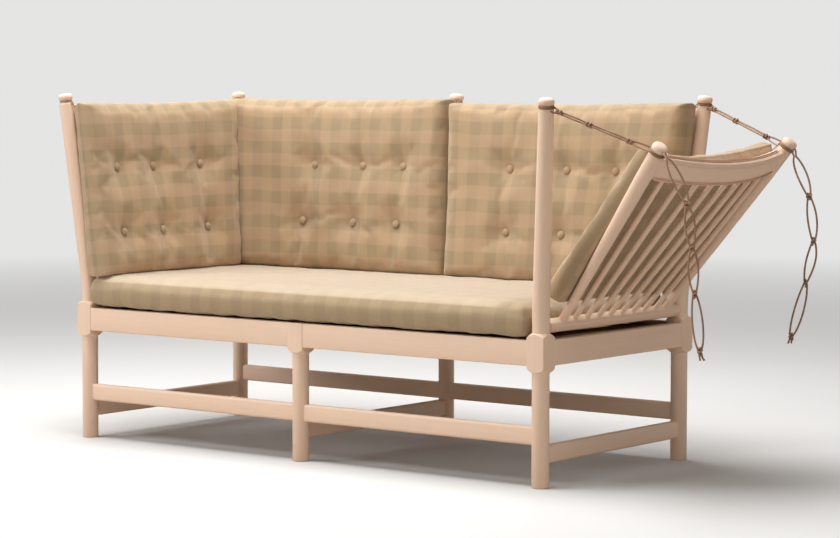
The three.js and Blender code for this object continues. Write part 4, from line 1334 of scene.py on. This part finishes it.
class SOFA_OT_laces(bpy.types.Operator):
    """Ties the knotted laces between the posts and the drop arm"""

    bl_idname = "sofa.laces"
    bl_label = "Laces"

    def execute(self, context):
        thick = context.scene.sofa_laces.lace_radius
        knot = knot_model()
        angles = [2 * math.pi * step / 28 for step in range(28)]
        for side, (post, arm) in necks().items():
            loops = []
            for place, body, (centre, tilt) in (("post", "frame", post), ("arm", "drop_arm", arm)):
                rings = [round_neck(centre + tilt @ Vector((0, 0, lift)), tilt, NECK_RADIUS + thick, angles)
                         for lift in (-thick, thick)]
                loop = smooth(lace(f"lace_{side}_{place}_loop", [(ring, True) for ring in rings], thick), 60)
                loops.append(dress(loop, "lace_leather_round", body, f"cord_{side}_{place}_loop"))
            self.pull_stay(side, post[0], arm[0], knot, loops[0])
            self.hang_tail(side, arm[0], TAILS[side], knot, loops[1])
        put_away(knot)
        return {"FINISHED"}

    def pull_stay(self, side, post, arm, knot, loop):
        """Stretches the doubled lace from the post to the arm"""
        thick = bpy.context.scene.sofa_laces.lace_radius
        way = arm - post
        reach = way.length
        way.normalize()
        flat = way.cross(UP).normalized()
        marks = (0.0, *STAY_KNOTS, reach)
        edges = tuple(post + way * 0.02), tuple(arm - way * 0.01)

        def stretched(piece, node):
            dress(piece, "lace_leather_round", None, node)
            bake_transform(piece)
            return piece

        spots = [(k, post + way * mark) for k, mark in enumerate(STAY_KNOTS)]
        knots = tie_knots(knot, f"lace_{side}_stay_knots", spots, way, 0.9)
        stretched(knots, f"cord_{side}_last_knot")
        for hand, twin in ((-1, "left"), (1, "right")):
            points = []
            for step in range(57):
                along = reach * step / 56
                low = max(mark for mark in marks[:-1] if mark <= along)
                high = marks[marks.index(low) + 1]
                middle = math.sin(math.pi * min(1, (along - low) / (high - low)))
                ends = max(0.0, 1 - along / marks[1]) + max(0.0, 1 - (reach - along) / (reach - marks[3]))
                spread = thick * SIDE_BY_SIDE + middle * 0.0005 + (STAY_MOUTH - thick) * ends ** 1.2
                swing = (1.05 + 0.25 * math.sin(along * 40)) * (1 - min(ends, 1))
                points.append(post + way * along + Quaternion(way, swing) @ flat * spread * hand)
            strand = stretched(string(f"lace_{side}_stay_{twin}", points, thick), f"cord_{side}_stay")
            declare_cord(points)

    def hang_tail(self, side, arm, offsets, knot, loop):
        """Hangs the rest of the lace from the arm's neck"""
        thick = bpy.context.scene.sofa_laces.lace_radius
        spots = [arm + Vector(offset) for offset in offsets]
        marks = [arm + Vector((0.016, 0.0, -0.003)), *spots]

        def hung(piece, *nodes):
            dress(piece, "lace_leather_round", f"tail_{side}", *nodes)
            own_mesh(piece)
            return piece

        knots = hung(tie_knots(knot, f"lace_{side}_tail_knots", list(enumerate(spots))[1:5], UP, 0.7))
        for hand, twin in ((-1, "left"), (1, "right")):
            points = []
            for point, k, t in through(marks, TAIL_STEPS):
                bow = thick * SIDE_BY_SIDE + max(0.0, TAIL_BOWS[k] - thick) * math.sin(math.pi * t) ** 0.8
                if k == len(marks) - 2:
                    bow = thick * SIDE_BY_SIDE + 0.0028 * t
                skew = 0.0012 * math.sin(math.pi * t) * math.sin(5 * k + 1)
                points.append(point + Vector((0.8, 0.6, 0)) * (bow * hand + skew))
            strand = hung(string(f"lace_{side}_tail_{twin}", points, thick), f"cord_{side}_tail")
            declare_cord(points)


class SOFA_OT_cushion_ties(bpy.types.Operator):
    """Ties the cushions' corners to the necks"""

    bl_idname = "sofa.cushion_ties"
    bl_label = "Cushion ties"

    def execute(self, context):
        shapes = cushion_shapes()
        for name, (side, row, over, corners) in POST_TIES.items():
            for panel, end in corners:
                lift = 0.0014 if end else -0.0014
                neck = post_place(side, row, neck_along(post_length(side)) + lift)
                self.tie(f"tie_{name}_{panel}", neck, self.corner(shapes, panel, end), "frame", over)
        for side, (_, neck) in necks().items():
            corner = self.corner(shapes, "drop_arm", int(side == "rear"))
            self.tie(f"tie_arm_{side}", neck, corner, "drop_arm", True)
        return {"FINISHED"}

    def corner(self, shapes, panel, end):
        """Top corner of a cushion's back edge"""
        shape = shapes[panel]
        inset = -0.013 if end else 0.013
        place = Vector((-shape["back"] - 0.016, shape["top"][end] + inset, shape["tops"][end] - 0.016))
        return panel_frame(panel) @ place

    def tie(self, name, neck, corner, body, over):
        """Thin cord once round a neck, or over the laces there, and to a cushion's corner"""
        centre, tilt = neck
        laces = bpy.context.scene.sofa_laces
        thin = laces.tie_radius
        reach = NECK_RADIUS + 0.0002 + thin + (2 * laces.lace_radius if over else 0.0)
        flat = tilt.inverted() @ (corner - centre)
        start = math.atan2(flat.y, flat.x) + TIE_GAP
        ring = round_neck(centre, tilt, reach, [start + (2 * math.pi - 2 * TIE_GAP) * step / 26 for step in range(27)])
        mouth = centre + (corner - centre) * TIE_MOUTH
        near, far = ([ring[end].lerp(mouth, share / 5) for share in (1, 2, 3, 4)] for end in (0, -1))
        points = [*reversed(near), *ring, *far, *(mouth.lerp(corner, share / 3) for share in range(4))]
        strand = dress(string(name, points, thin, 1), "lace_leather_round", body)
        declare_cord(points[::-1])


class SOFA_OT_hardware(bpy.types.Operator):
    """Finishes the hinge pins and webs the seat"""

    bl_idname = "sofa.hardware"
    bl_label = "Pins and webbing"

    def execute(self, context):
        s = settings()
        at = places()
        for side in ("front", "rear"):
            paint(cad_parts[f"hinge_pin_{side}"], "pin_steel_brushed")
        inner = s.rail_thickness / 2 + 0.001
        rail_inner = s.block_width / 2 - s.rail_recess - s.rail_thickness
        outer = at.half_span + rail_inner - 0.001
        depth = 2 * (at.half_depth + rail_inner - 0.001)
        width = outer - inner
        for side, end in (("left", -1), ("right", 1)):
            bands = [self.band(f"strap_{k}", (STRAP_WIDTH, depth), 1, width * place, k)
                     for k, place in enumerate(STRAP_SHARES)]
            bands += [self.band(f"band_{k}", (width, BAND_WIDTH), 0, depth * place, k)
                      for k, place in enumerate(BAND_SHARES)]
            net = join(f"webbing_{side}", bands)
            moved(net, floor_place(end * (outer + inner) / 2, 0, s.rail_top - 0.0016))
            dress(smooth(net, 50), "strap_webbing_jute", "frame", f"seat_straps_{side}")
        return {"FINISHED"}

    def band(self, name, extent, along, offset, number):
        """Band that passes over and under the ones that cross it"""
        clear_bench()
        steps = 48
        cuts = (2, steps) if along else (steps, 2)
        bpy.ops.mesh.primitive_grid_add(x_subdivisions=cuts[0], y_subdivisions=cuts[1], size=1)
        band = named(name)
        crossings = 2 if along else 5
        for vertex in band.data.vertices:
            place = (vertex.co[along] + 0.5) * crossings - 0.5
            wave = math.cos(math.pi * (place + number)) * (1 if along else -1)
            vertex.co = (vertex.co.x * extent[0] + (offset if along else 0),
                         vertex.co.y * extent[1] + (0 if along else offset), -0.0012 + WEB_WAVE * wave)
        band.data.update()
        return modify(band, "SOLIDIFY", thickness=WEB_THICKNESS, offset=0.0)


class SOFA_OT_stage(bpy.types.Operator):
    """Sets the camera, the floor and the studio lights"""

    bl_idname = "sofa.stage"
    bl_label = "Stage"

    def execute(self, context):
        scene = context.scene
        scene.view_settings.view_transform = "Standard"
        self.camera(scene)
        clear_bench()
        bpy.ops.mesh.primitive_circle_add(vertices=96, radius=40, fill_type="NGON")
        floor = named("studio_floor")
        floor.data.materials.append(self.floor_paint(scene.sofa_colours.floor))
        for name, (place, target, extent, power) in LAMPS.items():
            self.lamp(name, Vector(place), Vector(target), extent, power)
        air = Finish("studio_air", bpy.data.worlds)
        air.set(color=(1.0, 0.945, 0.885), strength=0.31)
        seen = air.node("ShaderNodeBackground", None, {"Color": scene.sofa_colours.floor, "Strength": 1.0})
        scene.world = air.cover(air.node("ShaderNodeLightPath").value("Is Camera Ray"), seen)
        return {"FINISHED"}

    def camera(self, scene):
        lens = bpy.data.cameras.new("photograph")
        lens.lens, lens.sensor_width, lens.shift_y = 117.773, 36, -0.05
        lens.clip_end = 200
        camera = bpy.data.objects.new("photograph", lens)
        bpy.context.collection.objects.link(camera)
        turn, tilt, roll = (math.radians(angle) for angle in CAMERA_TURNS)
        aim = Matrix.Rotation(turn, 4, "Z") @ Matrix.Rotation(tilt, 4, "X") @ Matrix.Rotation(roll, 4, "Z")
        camera.matrix_world = Matrix.Translation(CAMERA_PLACE) @ aim
        scene.camera = camera

    def floor_paint(self, tone):
        """Pale floor that fades into the backdrop, a little warmer for what isn't the camera"""
        paint = Finish("floor_paint")
        spot = paint.node("ShaderNodeTexCoord").value("Object")
        far = paint.node("ShaderNodeVectorMath", {"operation": "LENGTH"}, {0: spot}).value("Value")
        fade = ((far - 2.4) / 5.0).between(0.0, 1.0)
        grey = paint.noise(spot, 3.0, 2.0) * 0.02 + 0.68
        pale = paint.node("ShaderNodeCombineColor", None, {0: grey, 1: grey, 2: grey}).value()
        ray = paint.node("ShaderNodeLightPath").value("Is Camera Ray")
        paint.set(base_color=paint.mix(ray, (0.52, 0.46, 0.4), pale), roughness=0.75, specular_ior_level=0.1)
        return paint.cover(fade * ray, paint.node("ShaderNodeEmission", None, {"Color": tone, "Strength": 1.0}))

    def lamp(self, name, place, target, extent, power):
        light = bpy.data.lights.new(name, "AREA")
        light.shape = "RECTANGLE"
        light.size, light.size_y = extent
        light.energy = power
        light.color = (1.0, 0.995, 0.985)
        lamp = bpy.data.objects.new(name, light)
        bpy.context.collection.objects.link(lamp)
        lamp.location = place
        lamp.rotation_euler = (target - place).to_track_quat("-Z", "Y").to_euler()


class SOFA_PT_sidebar(bpy.types.Panel):
    """Lists the sofa's pieces, sizes and colours"""

    bl_idname = "SOFA_PT_sidebar"
    bl_label = "Sofa"
    bl_space_type = "VIEW_3D"
    bl_region_type = "UI"
    bl_category = "Sofa"

    def draw(self, context):
        column = self.layout.column()
        for group in GROUPS:
            owner = getattr(context.scene, GROUPS[group])
            for name in group.__annotations__:
                column.prop(owner, name)
        for step in STEPS:
            column.operator(step.bl_idname)


GROUPS = {
    SofaFrameSizes: "sofa_frame",
    SofaCushionSizes: "sofa_cushions",
    SofaLaceSizes: "sofa_laces",
    SofaColours: "sofa_colours",
}
STEPS = (
    SOFA_OT_stage,
    SOFA_OT_laces,
    SOFA_OT_cushion_ties,
    SOFA_OT_seat_cushion,
    SOFA_OT_back_and_arm_cushions,
    SOFA_OT_legs,
    SOFA_OT_rails,
    SOFA_OT_spoke_panels,
    SOFA_OT_drop_arm,
    SOFA_OT_hardware,
)


def register():
    for kind in (*GROUPS, *STEPS, SOFA_PT_sidebar):
        bpy.utils.register_class(kind)
    for group, name in GROUPS.items():
        setattr(bpy.types.Scene, name, PointerProperty(type=group))


def unregister():
    for name in GROUPS.values():
        delattr(bpy.types.Scene, name)
    for kind in (SOFA_PT_sidebar, *reversed(STEPS), *reversed(GROUPS)):
        bpy.utils.unregister_class(kind)


def main():
    register()
    bpy.ops.sofa.stage()
    bpy.ops.sofa.laces()
    bpy.ops.sofa.cushion_ties()
    bpy.ops.sofa.seat_cushion()
    bpy.ops.sofa.back_and_arm_cushions()
    bpy.ops.sofa.legs()
    bpy.ops.sofa.rails()
    bpy.ops.sofa.spoke_panels()
    bpy.ops.sofa.drop_arm()
    bpy.ops.sofa.hardware()


if __name__ == "__main__":
    main()
